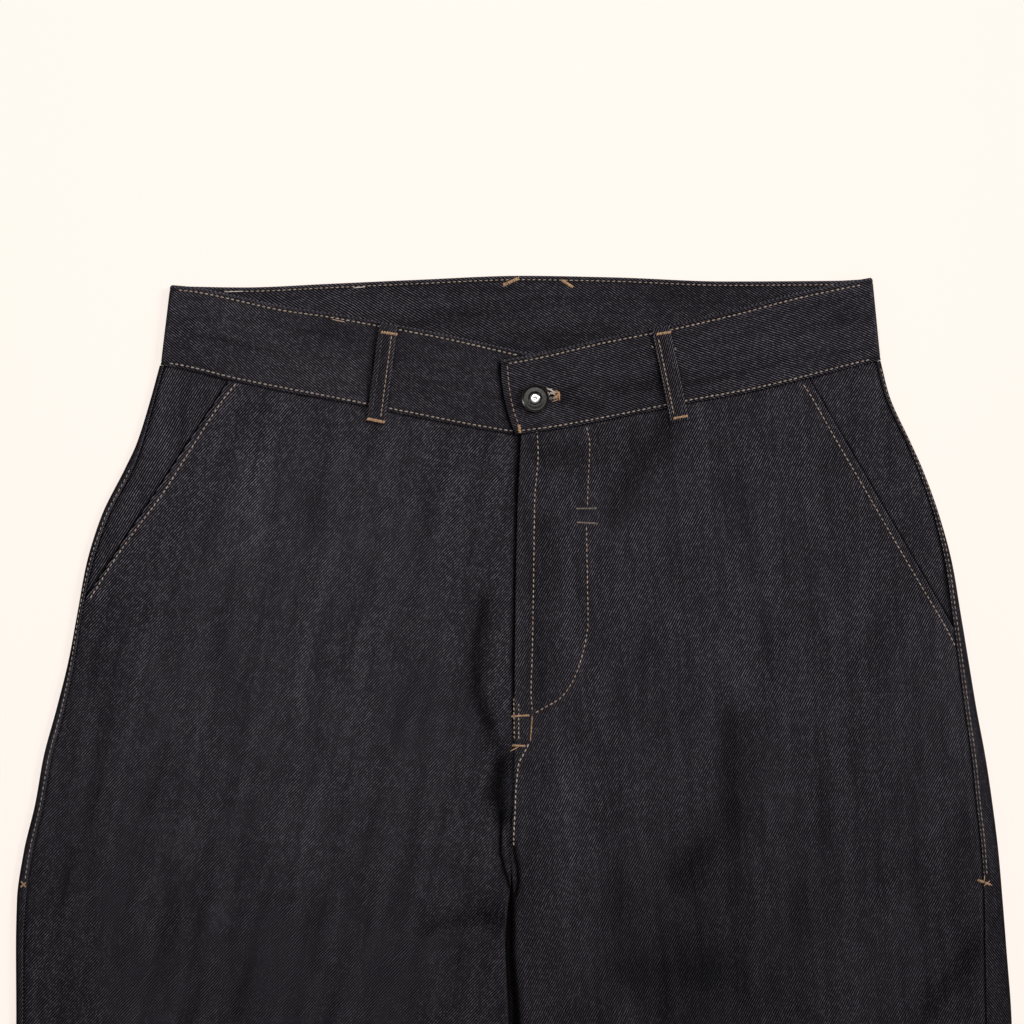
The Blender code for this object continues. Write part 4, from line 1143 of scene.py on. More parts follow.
# %% Places on the band
band_tops, band_feet, band_out, band_bulge = band_path()
band_depth = np.linalg.norm(band_feet - band_tops, axis=1)
band_down = (band_feet - band_tops) / band_depth[:, None]
band_along = distances_along((band_tops + band_feet) / 2)
band_places = np.arange(len(band_along))
print("band:", len(band_along), "stations,", round(band_along[-1]), "mm long")
print("its mean depth:", round(float(band_depth.mean()), 1), "mm")


def on_band(station, from_top, outwards):
    """A point of the band: from_top millimetres below the fold and outwards from the outside face. station
    is an array index that may lie between two stations."""
    tops, down, out = (along_line(station, band_places, values) for values in (band_tops, band_down, band_out))
    share = from_top / np.interp(station, band_places, band_depth)
    point = tops + down * np.asarray(from_top)[..., None] + out * np.asarray(outwards)[..., None]
    point[..., 0] -= np.interp(station, band_places, band_bulge) * 4 * share * (1 - share)
    return point


# %% Where the belt loops lie on the band
Loop = namedtuple("Loop", "name half top_across top_up foot_across foot_up")
LOOPS = right_loop, left_loop = table(
    Loop,
    ("belt_loop_right", RIGHT, -76.4, 526.6, -84.2, 467.2),
    ("belt_loop_left", LEFT, 86.6, 524.8, 98.2, 468.4),
)
LOOP_WIDTH = 11.0


def loop_frame(loop):
    """The loop's length and its directions along and across, in plan."""
    run = np.array([loop.foot_across - loop.top_across, loop.foot_up - loop.top_up])
    length = float(np.linalg.norm(run))
    along = run / length
    return length, along, np.array([-along[1], along[0]])


def beside_loop(loop, x, y):
    """How much light the loop keeps off the band at its sides: most at its photo-left side."""
    length, along, across = loop_frame(loop)
    down = (x - loop.top_across) * along[0] + (y - loop.top_up) * along[1]
    over = (x - loop.top_across) * across[0] + (y - loop.top_up) * across[1]
    photo_left = 0.9 * bell(over + LOOP_WIDTH / 2 + 0.3, 1.1)
    photo_right = 0.5 * bell(over - LOOP_WIDTH / 2 - 0.2, 0.8)
    return (photo_left + photo_right) * (down > 0.0) * (down < length)


# %% The section of the band
BELOW_FOLD = (
    1.2, 1.7, 2.2, 2.7, 3.2, 3.8, 5.0, 7.5, 10.5, 14.0, 18.0, 21.5, 23.4, 24.6, 25.5, 27.3, 28.2, 29.4, 31.5, 34.5,
)
FROM_FOOT = (-8.5, -6.0, -4.0, -3.0, -2.4, -1.9, -1.3, -0.5)
FACE_ROWS = tuple((0.0, offset) for offset in BELOW_FOLD) + tuple((1.0, offset) for offset in FROM_FOOT)
HOLE_ROW = 14
HOLE_DOWN = 26.4
HOLE_HALF = 0.9
HOLE_NEAR = 60.0
EYE_AT = 11.6
EYE_OPEN = 1.4
CLOSES_FROM = 21.6
CLOSES_BY = 0.55
FOLD_TURNS = np.radians([150.0, 120.0, 90.0, 60.0, 30.0])
FOOT_ROUND = ((-0.15, -0.15), (0.0, -0.5), (0.0, -1.9), (-0.15, -2.25))
END_ROUND = 1.2
FACING_UP = 0.9
TOPSTITCH_DOWN = 2.8
SEAM_STITCH_UP = 2.0
MOST_RELIEF = 0.6


def band_section():
    """The section as (share of the depth, offset in mm, height from the outside face) in order round it:
    the outside face downwards, the foot, the inside face upwards, and round the fold."""
    outside = [(share, offset, 0.0) for share, offset in FACE_ROWS]
    foot = [(1.0, offset, height) for offset, height in FOOT_ROUND]
    inside = [(share, offset, -BAND) for share, offset in FACE_ROWS[::-1]]
    half = BAND / 2
    fold = [(0.0, half - half * math.sin(turn), -half + half * math.cos(turn)) for turn in FOLD_TURNS]
    return np.array(outside + foot + inside + fold)


# %% The relief of the band
def face_relief(from_top, from_foot, along):
    """How far a band face stands over its plain level: a swelling at each edge, a groove under each line of
    stitches, and the ripples that they pull."""
    groove = bell(from_top - TOPSTITCH_DOWN, 0.55) + bell(from_foot - SEAM_STITCH_UP, 0.5)
    swell = bell(from_foot - 0.9, 0.7) * 0.12
    ripple = bell(from_top - 3.0, 2.2) + bell(from_foot - 2.2, 2.0)
    return -0.2 * groove + swell + 0.07 * ripple * roping(along, 6.4)


def band_face(plan, from_top, from_foot, along, outside):
    """The relief of the band's outside, or of its inside, at points given in plan. The outside is plain
    where it lies on the table, and the inside is plain where the front hides it."""
    upwards = np.interp(along, band_along, band_out[:, 2])
    folds = BAND_FOLDS if outside else BACK_BAND_FOLDS
    extra = 0.8 * small_waves(plan[..., 0], plan[..., 1]) + fold_heights(folds, plan[..., 0], plan[..., 1])
    relief = face_relief(from_top, from_foot, along)
    if outside:
        return np.minimum(relief * (upwards > -FACING_UP) + extra * (upwards > FACING_UP), MOST_RELIEF)
    return np.clip((relief + extra) * (upwards < -FACING_UP), -0.5, MOST_RELIEF)


# %% The buttonhole in the cloth
def open_buttonhole(plan, from_top, height, along, outside):
    """The rows above and below the slit drawn apart, wide at the eye and closed at the other end, and the
    cloth round it a little proud."""
    x, from_slit, near = plan[..., 0], from_top - HOLE_DOWN, along < HOLE_NEAR
    eye = EYE_OPEN * bell(x - EYE_AT, 2.2) - CLOSES_BY * smooth_step((x - CLOSES_FROM) / 2.0)
    pull = np.sign(from_slit) * bell(np.abs(from_slit) - HOLE_HALF, 2.4)
    proud = 0.3 * bell(from_slit, 2.0) * near * (x > HOLE_STARTS - 1.2) * (x < HOLE_ENDS + 1.4)
    return from_top + near * eye * pull * (np.abs(from_slit) < 6.0), height + outside * proud


# %% Painted shade on the band
def band_painted_shade(plan, from_top, from_foot, along, outside):
    """Painted shade: dark in the fold beside the flap and in the grooves of the stitches, and a painted shadow
    under the flap's end and beside the belt loops. The band is also a little lighter towards the sides."""
    folds = np.where(outside, fold_heights(BAND_FOLDS, plan[..., 0], plan[..., 1]), 0.0)
    tone = 1.0 - 0.9 * np.clip(-folds, 0.0, 0.5)
    flap_end = on_band(np.zeros(40), np.linspace(0.0, band_depth[0], 40), np.zeros(40))
    from_flap = np.interp(plan[..., 1], flap_end[::-1, 1], flap_end[::-1, 0]) - plan[..., 0]
    on_right_front = (along > band_along[-1] / 2) & (band_out[:, 2] > FACING_UP)[:, None]
    # Painted shadow under the flap's end.
    flap_painted_shadow = on_right_front * (plan[..., 1] < flap_end[0, 1]) * smooth_fall((from_flap - 1.1) / 1.3)
    towards_side = smooth_step((np.abs(plan[..., 0] - 20.0) - 60.0) / 120.0)
    by_place = np.where(outside, 0.97 + 0.17 * towards_side, 0.90 + 0.10 * towards_side)
    # Painted shade in the grooves of the stitches.
    stitch_painted_shade = bell(from_top - TOPSTITCH_DOWN - 0.1, 0.9) + bell(from_foot - SEAM_STITCH_UP, 0.9)
    tone = tone * (1.0 - 0.95 * flap_painted_shadow) * by_place * (1.0 - 0.5 * np.clip(stitch_painted_shade, 0.0, 1.0))
    for loop in LOOPS:
        tone = tone * (1.0 - outside * beside_loop(loop, plan[..., 0], plan[..., 1]))
    return tone


# %% The faces round the slit
def slit_faces(squares, around, slot):
    """The squares without those where slot says the buttonhole is, on both faces, and the slit's inside
    wall. A point of the inside face is the twin of the one on the outside face across from it."""
    twin = 2 * len(FACE_ROWS) + len(FOOT_ROUND) - 1
    first, last = np.flatnonzero(slot)[[0, -1]].tolist()
    cell_row, cell_column = squares[:, 0] // around, squares[:, 0] % around
    cut = (cell_row >= first) & (cell_row < last)
    cut &= (cell_column == HOLE_ROW) | (cell_column == twin - HOLE_ROW - 1)
    rim = [(i, HOLE_ROW) for i in range(first, last + 1)]
    rim += [(i, HOLE_ROW + 1) for i in range(last, first - 1, -1)]
    outer_rim = np.array([i * around + j for i, j in rim])
    inner_rim = np.array([i * around + twin - j for i, j in rim])
    walls = np.stack([outer_rim, np.roll(outer_rim, -1), np.roll(inner_rim, -1), inner_rim], axis=1)
    return squares[~cut].tolist() + walls.tolist()


# %% The section carried along the path
def make_band():
    """The section carried along the path. Its two ends are rounded off over the last millimetre, and the
    buttonhole is a slit through both faces whose inside wall is closed all round."""
    section = band_section()
    stations, around = len(band_along), len(section)
    share, offset, height = (section[:, i][None, :] for i in range(3))
    from_top = share * band_depth[:, None] + offset
    from_foot = band_depth[:, None] - from_top
    along = band_along[:, None] + 0 * from_top
    to_end = np.minimum(along, band_along[-1] - along)
    at_station = band_places[:, None] + 0 * from_top
    plan = on_band(at_station, from_top, 0 * from_top)
    outside, inside = height == 0.0, height == -BAND
    height = height + outside * band_face(plan, from_top, from_foot, along, True)
    height = height - inside * band_face(plan, from_top, from_foot, along, False)
    height = -BAND / 2 + (height + BAND / 2) * np.maximum(quarter_round(to_end / END_ROUND), 0.06)
    slot = (plan[..., 0] > HOLE_STARTS) & (plan[..., 0] < HOLE_ENDS) & (along < HOLE_NEAR)
    from_top, height = open_buttonhole(plan, from_top, height, along, outside)
    faces = slit_faces(grid_faces(stations, around, round_columns=True), around, slot[:, HOLE_ROW])
    faces += end_caps(stations, around)
    past_foot = np.arange(around)[None, :] > len(FACE_ROWS) + 2
    round_u = np.where(inside | past_foot, -from_top - 3.0, from_top)
    turned_edge = bell(from_top, 0.9) + bell(along, 0.7)
    # Painted shade and painted shadows on the band, carried in its tone attribute.
    tone = band_painted_shade(plan, from_top, from_foot, along, outside)
    return on_band(at_station, from_top, height), faces, np.stack([round_u, along], axis=-1), tone, turned_edge


# %% Which way the faces look
def signed_volume(points, faces):
    """Six times the volume inside the faces: above 0 where they look outwards."""
    points = np.asarray(points).reshape(-1, 3)
    total = 0.0
    for size in sorted({len(face) for face in faces}):
        corners = points[np.array([face for face in faces if len(face) == size])]
        for k in range(1, size - 1):
            total += np.einsum("ij,ij->", corners[:, 0], np.cross(corners[:, k], corners[:, k + 1]))
    return float(total)


band_points, band_faces, band_uv, painted_band_shade, band_turned = make_band()
band_volume = signed_volume(band_points, band_faces)
if band_volume < 0:
    band_faces = [face[::-1] for face in band_faces]
band_shade_and_edges = {"tone": painted_band_shade, "turned_edge": band_turned}
waistband = new_piece("waistband_cloth", band_points, band_faces, band_uv, denim_for["band"], **band_shade_and_edges)
print("waistband", len(band_faces), "faces,", round(abs(band_volume) / 6000), "cubic cm")

# %% [markdown]
# ## The belt loops
# A belt loop is a strip of denim folded in three, with its raw edges inside, and held at each end by a bar
# tack. It bows out a little between them, to let a belt through, and steps down from the band to the front.

# %% The loops
LOOP_ROWS = 70
LOOP_BOW = 0.9
LOOP_END = 1.2
FACE_HALF_WIDTHS = (4.8, 4.2, 3.4, 2.7, 1.6, 0.0)


def loop_height(loop, x, y):
    """The outside of a loop over the table: on the band, bowed, then down on the front."""
    seam = loop.half.waist_seam(x)
    on_face = smooth_step((y - seam + 9.0) / 5.5)
    bow = LOOP_BOW * np.sin(np.pi * np.clip((loop.top_up - y) / (loop.top_up - seam), 0.0, 1.0)) ** 2
    return FRONT_TOP + SEAM_GAP + (BAND_TOP - FRONT_TOP) * on_face + bow + 0.3 + LOOP_CLOTH


# %% Make the two loops
def make_loop(loop):
    """A rounded section carried down the loop, with both ends turned in and closed."""
    length, along, across = loop_frame(loop)
    half, round_off = LOOP_WIDTH / 2, 0.7
    face = np.array([-w for w in FACE_HALF_WIDTHS] + list(FACE_HALF_WIDTHS[-2::-1]))
    corner = np.radians([30.0, 60.0, 90.0, 120.0, 150.0])
    side_w = half - round_off + round_off * np.sin(corner)
    side_h = -LOOP_CLOTH / 2 + LOOP_CLOTH / 2 * np.cos(corner)
    width = np.concatenate([face, side_w, face[::-1], -side_w[::-1]])
    height = np.concatenate([0 * face, side_h, 0 * face - LOOP_CLOTH, side_h[::-1]])
    place = 1.0 - np.cos(np.linspace(0.0, math.pi / 2, 7))
    straight = np.linspace(LOOP_END, length - LOOP_END, LOOP_ROWS)[1:-1]
    down = np.concatenate([LOOP_END * place, straight, length - LOOP_END * place[::-1]])
    end = quarter_round(np.minimum(down, length - down) / LOOP_END)[:, None]
    x = loop.top_across + along[0] * down[:, None] + across[0] * width[None, :]
    y = loop.top_up + along[1] * down[:, None] + across[1] * width[None, :]
    outside = (height == 0.0)[None, :]
    fold = 0.16 * bell(np.abs(width) - 4.0, 0.9) - 0.15 * bell(np.abs(width) - 2.7, 0.5)
    ripple = 0.07 * roping(down[:, None] + 3.0 * np.sign(width), 5.6) * bell(np.abs(width) - 3.4, 1.2)[None, :]
    lift = height[None, :] + outside * (fold[None, :] + ripple)
    lift = -LOOP_CLOTH / 2 + (lift + LOOP_CLOTH / 2) * np.maximum(end, 0.08)
    z = loop_height(loop, x, y) + lift
    points = np.stack([x, y, z], axis=-1)
    rows, around = x.shape
    faces = grid_faces(rows, around, round_columns=True).tolist() + end_caps(rows, around)
    uv = np.stack([np.where(height[None, :] < -1.0, width + 14.0, width) + 0 * x, -down[:, None] + 0 * x], axis=-1)
    if signed_volume(points, faces) < 0:
        faces = [face[::-1] for face in faces]
    turned_edge = bell(LOOP_WIDTH / 2 - np.abs(width), 0.6)[None, :] + 0 * x
    dye = {"tone": 1.0 + 0 * x, "turned_edge": turned_edge}
    return new_piece(loop.name + "_cloth", points, faces, uv, denim_for["loops"], **dye)


loop_pieces = [make_loop(loop) for loop in LOOPS]
print("loops", [len(piece.data.polygons) for piece in loop_pieces], "faces")

# %% [markdown]
# ## Stitches
# Jeans are sewn with a thick lockstitch thread, 8 stitches to the inch. Each stitch is a short bead of thread
# that dips into the cloth at both ends, so a seam is a row of separate pale dashes with dark gaps. One small
# capsule is bent into that arch and copied along a line that lies on the cloth, with a little of its own turn
# and length each time. Its shade and how orange it is are attributes that the thread's material reads.

# %% Thread and its material
CREAM_COTTON = (0.37, 0.325, 0.300, 1.0)
ORANGE_COTTON = (0.45, 0.262, 0.135, 1.0)
PLY_SCALE = 2600.0


def thread_material():
    """Cotton-wrapped thread between cream and orange, a little uneven, with a soft sheen."""
    material, shader = new_material("thread", {"Roughness": 0.6, "Specular IOR Level": 0.3})
    tree = Tree(material.node_tree)
    link = material.node_tree.links.new
    place = tree.node("ShaderNodeTexCoord", {}, output=3)
    colour = tree.mix(tree.attribute("tone"), CREAM_COTTON, ORANGE_COTTON)
    ply = tree.noise(place, PLY_SCALE)
    bright = tree.times(tree.attribute("shade"), tree.range(ply, 0.3, 0.7, 0.75, 1.2))
    link(tree.dimmed(colour, bright), shader.inputs["Base Color"])
    link(tree.bump(0.5, 0.0001, ply), shader.inputs["Normal"])
    return material


thread = thread_material()

# %% One stitch as a bead
BEAD_ALONG = np.array([-1.0, -0.8, -0.35, 0.35, 0.8, 1.0])
BEAD_GIRTH = np.array([0.35, 0.8, 1.0, 1.0, 0.8, 0.35])
BEAD_SIDES = 6


def upright(count):
    """The direction straight up, once for each of a number of beads."""
    return np.tile([0.0, 0.0, 1.0], (count, 1))


def bead_template():
    """The bead as rings of points (along, sideways, upwards), and its faces with both ends closed."""
    rings = len(BEAD_ALONG)
    turn = np.arange(BEAD_SIDES) * 2 * math.pi / BEAD_SIDES
    along, girth = np.repeat(BEAD_ALONG, BEAD_SIDES), np.repeat(BEAD_GIRTH, BEAD_SIDES)
    sideways, upwards = girth * np.tile(np.cos(turn), rings), girth * np.tile(np.sin(turn), rings)
    faces = grid_faces(rings, BEAD_SIDES, round_columns=True).tolist() + end_caps(rings, BEAD_SIDES)
    return along, sideways, upwards, faces


# %% Many beads as one piece
Beads = namedtuple("Beads", "centres ways ups length radius arch tone shade")


def thread_piece(name, groups):
    """All the beads of these groups as one piece. A bead is the template stretched to its length, arched by
    1 minus the square of the place along it, and laid with its own direction and up."""
    along, sideways, upwards, bead_faces = bead_template()
    size, start = len(along), 0
    points, faces, tones, shades = [], [], [], []
    for group in groups:
        centres = np.asarray(group.centres, float)
        ways = group.ways / np.linalg.norm(group.ways, axis=1, keepdims=True)
        ups = group.ups - ways * np.einsum("ij,ij->i", ways, group.ups)[:, None]
        ups = ups / np.linalg.norm(ups, axis=1, keepdims=True)
        sides = np.cross(ups, ways)
        lift = group.arch * (1.0 - along**2)
        offset = ways[:, None, :] * (along[None, :, None] * group.length[:, None, None] / 2)
        offset = offset + sides[:, None, :] * (sideways[None, :, None] * group.radius)
        offset = offset + ups[:, None, :] * (upwards * group.radius + lift)[None, :, None]
        points.append((centres[:, None, :] + offset).reshape(-1, 3))
        starts = start + np.arange(len(centres)) * size
        for face in bead_faces:
            faces += (starts[:, None] + np.array(face)[None, ::-1]).tolist()
        tones.append(np.repeat(group.tone, size))
        shades.append(np.repeat(group.shade, size))
        start += len(centres) * size
    dye = {"tone": np.concatenate(tones), "shade": np.concatenate(shades)}
    print(name, start // size, "stitches,", len(faces), "faces")
    return new_piece(name, np.concatenate(points), faces, None, thread, **dye)


# %% Laying stitches along a line
PITCH = 3.2
BEAD_LENGTH = 2.05
BEAD_RADIUS = 0.40
STITCH_ARCH = 0.30
LINE_STEP = 0.8
OVER = 0.02


def sew(points, ups, tone=0.3, pitch=PITCH, length=BEAD_LENGTH, radius=BEAD_RADIUS, shade=1.0, start=0.0):
    """Beads along a line of points, a pitch apart, each lying along the line with a small turn of its own."""
    gone = distances_along(points)
    at = np.arange(start + pitch / 2, gone[-1] - pitch / 3, pitch)
    at = at + dice.normal(0.0, 0.06, len(at))
    centres, up = along_line(at, gone, points), along_line(at, gone, ups)
    ways = along_line(at + 0.4 * length, gone, points) - along_line(at - 0.4 * length, gone, points)
    ways = ways + np.cross(up, ways) * dice.normal(0.07, 0.05, len(at))[:, None]
    lengths = length * dice.uniform(0.90, 1.08, len(at))
    shades = shade * dice.uniform(0.72, 1.12, len(at))
    tones = np.clip(tone + dice.normal(0.0, 0.08, len(at)), 0.0, 1.0)
    return Beads(centres, ways, up, lengths, radius, STITCH_ARCH, tones, shades)


def on_cloth(line, height_at):
    """A line in plan, made smooth in short steps and laid on a height function. Returns points and ups."""
    line = np.asarray(line, float)
    gone = distances_along(line)
    at = np.linspace(0.0, gone[-1], max(3, int(gone[-1] / LINE_STEP)))
    x, y = (through(gone, line[:, i])(at) if len(line) > 2 else np.interp(at, gone, line[:, i]) for i in range(2))
    return np.stack([x, y, height_at(x, y) + OVER], axis=1), upright(len(at))


# %% [markdown]
# ## The waistband's stitches
# The band is topstitched all round: just below the fold, along the waist seam, and down the flap's end. On
# the inside of the back the same two lines come through, and the upper one shows at the neck of the photo.

# %% Band stitches
def band_line(first, last, from_top=None, from_foot=None, inside=False):
    """A line along the band at a distance from its fold or its foot, on its outside or its inside."""
    station = np.linspace(first, last, 400)
    depth, along = (np.interp(station, band_places, values) for values in (band_depth, band_along))
    down = from_top(along) if from_top is not None else depth - from_foot
    relief = band_face(on_band(station, down, 0 * down), down, depth - down, along, not inside)
    out = along_line(station, band_places, band_out)
    if inside:
        return on_band(station, down, -BAND - OVER - relief), -out
    return on_band(station, down, OVER + relief), out


# %% Sew the band
def station_at(x, part):
    """The station whose fold is nearest to x, on the front of that side or on the back."""
    front = band_out[:, 2] > 0.99
    left_side = np.arange(len(band_along)) < len(flap_shares)
    chosen = {"left": front & left_side, "right": front & ~left_side, "back": band_out[:, 2] < -0.99}[part]
    return float(np.argmin(np.where(chosen, np.abs(band_tops[:, 0] - x), 1e9)))


right_drop = through([band_along[-1] - left for left in (240.0, 215.0, 120.0, 0.0)], [2.7, 2.9, 2.8, 2.8])
left_drop = through([0.0, 40.0, 120.0, 200.0, 230.0], [3.0, 3.0, 3.3, 3.6, 3.4])
back_drop = lambda along: 2.5 + 0 * along
end_of_left, end_of_right = station_at(210.0, "left"), station_at(-203.0, "right")
neck_ends = station_at(200.0, "back"), station_at(-176.0, "back")
band_threads = [
    sew(*band_line(station_at(-5.6, "left"), end_of_left, from_top=left_drop), tone=0.3, shade=0.85),
    sew(*band_line(7.0, end_of_left, from_foot=SEAM_STITCH_UP), tone=0.2, shade=0.85),
    sew(*band_line(end_of_right, station_at(2.0, "right"), from_top=right_drop), tone=0.3, shade=0.85),
    sew(*band_line(end_of_right, len(band_along) - 4, from_foot=SEAM_STITCH_UP), tone=0.2, shade=0.85),
    sew(*band_line(*neck_ends, from_top=back_drop, inside=True), tone=0.3, radius=0.30, shade=0.8),
]
flap_height = lambda x, y: FLAP_TOP + 0 * x
FLAP_END_STITCH = (
    (-5.2, 502.0), (-5.0, 499.8), (-4.5, 493.4), (-3.4, 484.3), (-1.0, 473.6), (1.1, 467.7), (1.9, 463.6),
)
band_threads.append(sew(*on_cloth(FLAP_END_STITCH, flap_height), tone=0.55, radius=0.27, length=2.1, shade=0.8))
band_stitches = thread_piece("band_stitches", band_threads)

# %% [markdown]
# ## Pocket, fly, crotch, side and hem stitches
# The pocket mouth has one line 3.3 mm inside its edge. The fly has the curved line that holds its facing, and
# one close to the edge. The side seams are topstitched to below the hip and end in a bar tack, and below it
# the pressed seam is bare. The hems have one line 15 mm up.

# %% Pocket and side stitches
RIGHT_POCKET_STITCH = (
    (-167.8, 491.4), (-175.8, 481.5), (-195.0, 452.1), (-212.0, 425.2), (-229.2, 402.2), (-240.6, 386.1),
    (-256.0, 361.5),
)
LEFT_POCKET_STITCH = (
    (172.1, 491.0), (177.0, 483.6), (187.8, 464.6), (207.5, 430.8), (225.6, 399.6), (242.0, 371.6),
    (258.5, 343.7), (264.2, 332.5),
)


def seam_line(half, offset, high, low):
    """A line down the strip, offset outwards from the folded edge but never on the outline's own turn."""
    y = np.linspace(high, low, 500)
    x = np.minimum(np.abs(half.seam(y)) + offset, np.abs(half.edge(y)) - 1.1) * half.side
    points = np.stack([x, y, strip_height(x, y, half) + OVER], axis=1)
    lean = np.clip((np.abs(x) - np.abs(half.edge(y)) + SIDE_ROLL) / SIDE_ROLL, 0.0, 0.9)
    ups = np.stack([half.side * lean, 0 * y, np.sqrt(1.0 - lean**2)], axis=1)
    return points, ups


pocket_stitches = thread_piece("pocket_stitches", [
    sew(*on_cloth(RIGHT_POCKET_STITCH, right_front_height), tone=0.3, radius=0.34, shade=0.95),
    sew(*on_cloth(LEFT_POCKET_STITCH, left_front_height), tone=0.4, radius=0.34, shade=0.9),
])
edge_dashes = {"tone": 0.0, "radius": 0.16, "length": 1.1, "shade": 1.1, "start": 1.4}
side_stitches = thread_piece("side_stitches", [
    sew(*seam_line(RIGHT, 1.6, 440.0, 192.0), tone=0.1, radius=0.26, length=2.0, shade=0.8),
    sew(*seam_line(LEFT, 2.0, 501.0, 194.0), tone=0.3, radius=0.27, shade=0.8),
    sew(*seam_line(LEFT, 0.25, 452.0, 196.0), **edge_dashes),
])

# %% Fly and crotch stitches
FLY_INNER = (
    (12.2, 464.0), (12.9, 458.0), (13.2, 450.0), (11.2, 421.2), (10.5, 372.6), (9.8, 331.2), (9.0, 306.6),
    (9.8, 294.0),
)
CROTCH_STITCH = (
    (7.8, 275.4), (4.8, 269.4), (1.6, 262.8), (0.5, 253.2), (-0.1, 247.2), (-0.6, 234.0), (-1.3, 220.8),
    (-1.4, 213.0),
)
RIGHT_FLY_LINE = ((-1.4, 303.0), (-1.0, 277.0))
LEFT_FLY_LINE = ((1.6, 301.0), (1.6, 277.0))
fly_foot = {"tone": 0.4, "radius": 0.33, "length": 1.6, "pitch": 2.8}
fly_stitches = thread_piece("fly_stitches", [
    sew(*on_cloth(FLY_INNER, left_front_height), tone=0.4, radius=0.33, length=1.9),
    sew(*on_cloth(FLY_CURVE[:4], left_front_height), tone=0.5, radius=0.30, length=1.9, shade=0.85),
    sew(*on_cloth(FLY_CURVE[4:], left_front_height), tone=0.5, radius=0.32, length=1.9, shade=0.95),
    sew(*on_cloth(CROTCH_STITCH, left_front_height), tone=0.3, radius=0.36, length=1.9, shade=1.15),
    sew(*on_cloth(RIGHT_FLY_LINE, lambda x, y: FRONT_TOP + 0.25 + 0 * x), **fly_foot),
    sew(*on_cloth(LEFT_FLY_LINE, left_front_height), **fly_foot, start=1.2),
])


# %% Loop stitches
def loop_line(loop, offset, high, low):
    """A line down a loop at a distance from its middle, between two distances from its top."""
    _, along, across = loop_frame(loop)
    down = np.linspace(high, low, 120)
    x = loop.top_across + along[0] * down + across[0] * offset
    y = loop.top_up + along[1] * down + across[1] * offset
    return np.stack([x, y, loop_height(loop, x, y) + OVER], axis=1), upright(len(down))


lit = {"tone": 0.6, "radius": 0.27, "length": 2.1, "pitch": 2.9, "shade": 0.9}
shaded = {"tone": 0.3, "radius": 0.15, "length": 1.5, "pitch": 2.9, "shade": 0.25}
at_edge = {"tone": 0.0, "radius": 0.17, "length": 1.2, "pitch": 2.1, "shade": 0.55}
loop_stitches = thread_piece("loop_stitches", [
    sew(*loop_line(right_loop, 2.7, 6.5, 56.0), **lit),
    sew(*loop_line(left_loop, -2.7, 6.5, 55.0), **lit),
    sew(*loop_line(left_loop, -5.0, 4.0, 56.0), **at_edge),
    sew(*loop_line(right_loop, -2.7, 6.5, 56.0), **shaded),
    sew(*loop_line(left_loop, 2.7, 6.5, 55.0), **shaded),
])


# %% Hem stitches
def hem_line(inner, outer, height_at):
    """A level line 15 mm above the hem, across the front."""
    x = np.linspace(inner, outer, 500)
    y = np.full_like(x, HEM + HEM_DEPTH)
    return np.stack([x, y, height_at(x, y) + OVER], axis=1), upright(len(x))


hem_stitches = thread_piece("hem_stitches", [
    sew(*hem_line(-43.0, -305.0, right_front_height), tone=0.3),
    sew(*hem_line(41.0, 301.0, left_front_height), tone=0.3),
])

# %% [markdown]
# ## Bar tacks
# Where a seam is pulled hard the machine sews a bar tack: a few long threads covered by a tight zigzag. Each
# one here is a row of short arched strands laid side by side across its length.

# %% Bar tacks
TACK_PITCH = 0.52
TACK_ARCH = 0.45


def bar_tack(start, end, height_at, width=1.7, radius=0.26, tone=0.9, shade=1.05, slant=0.25):
    """Strands across the line from start to end, close together, each arched a little."""
    start, end = np.array(start, float), np.array(end, float)
    run = end - start
    length = float(np.hypot(*run))
    way = run / length
    count = max(3, int(length / TACK_PITCH))
    at = (np.arange(count) + 0.5) / count + dice.normal(0.0, 0.012, count)
    plan = start[None, :] + run[None, :] * at[:, None] + dice.normal(0.0, 0.05, (count, 2))
    across = np.array([-way[1], way[0]]) + way * slant
    centres = np.column_stack([plan, height_at(plan[:, 0], plan[:, 1]) + 0.05])
    ways = np.column_stack([across[None, :] + dice.normal(0.0, 0.10, (count, 2)), np.zeros(count)])
    lengths = width * dice.uniform(0.85, 1.15, count)
    shades = shade * dice.uniform(0.70, 1.10, count)
    return Beads(centres, ways, upright(count), lengths, radius, TACK_ARCH, np.full(count, tone), shades)


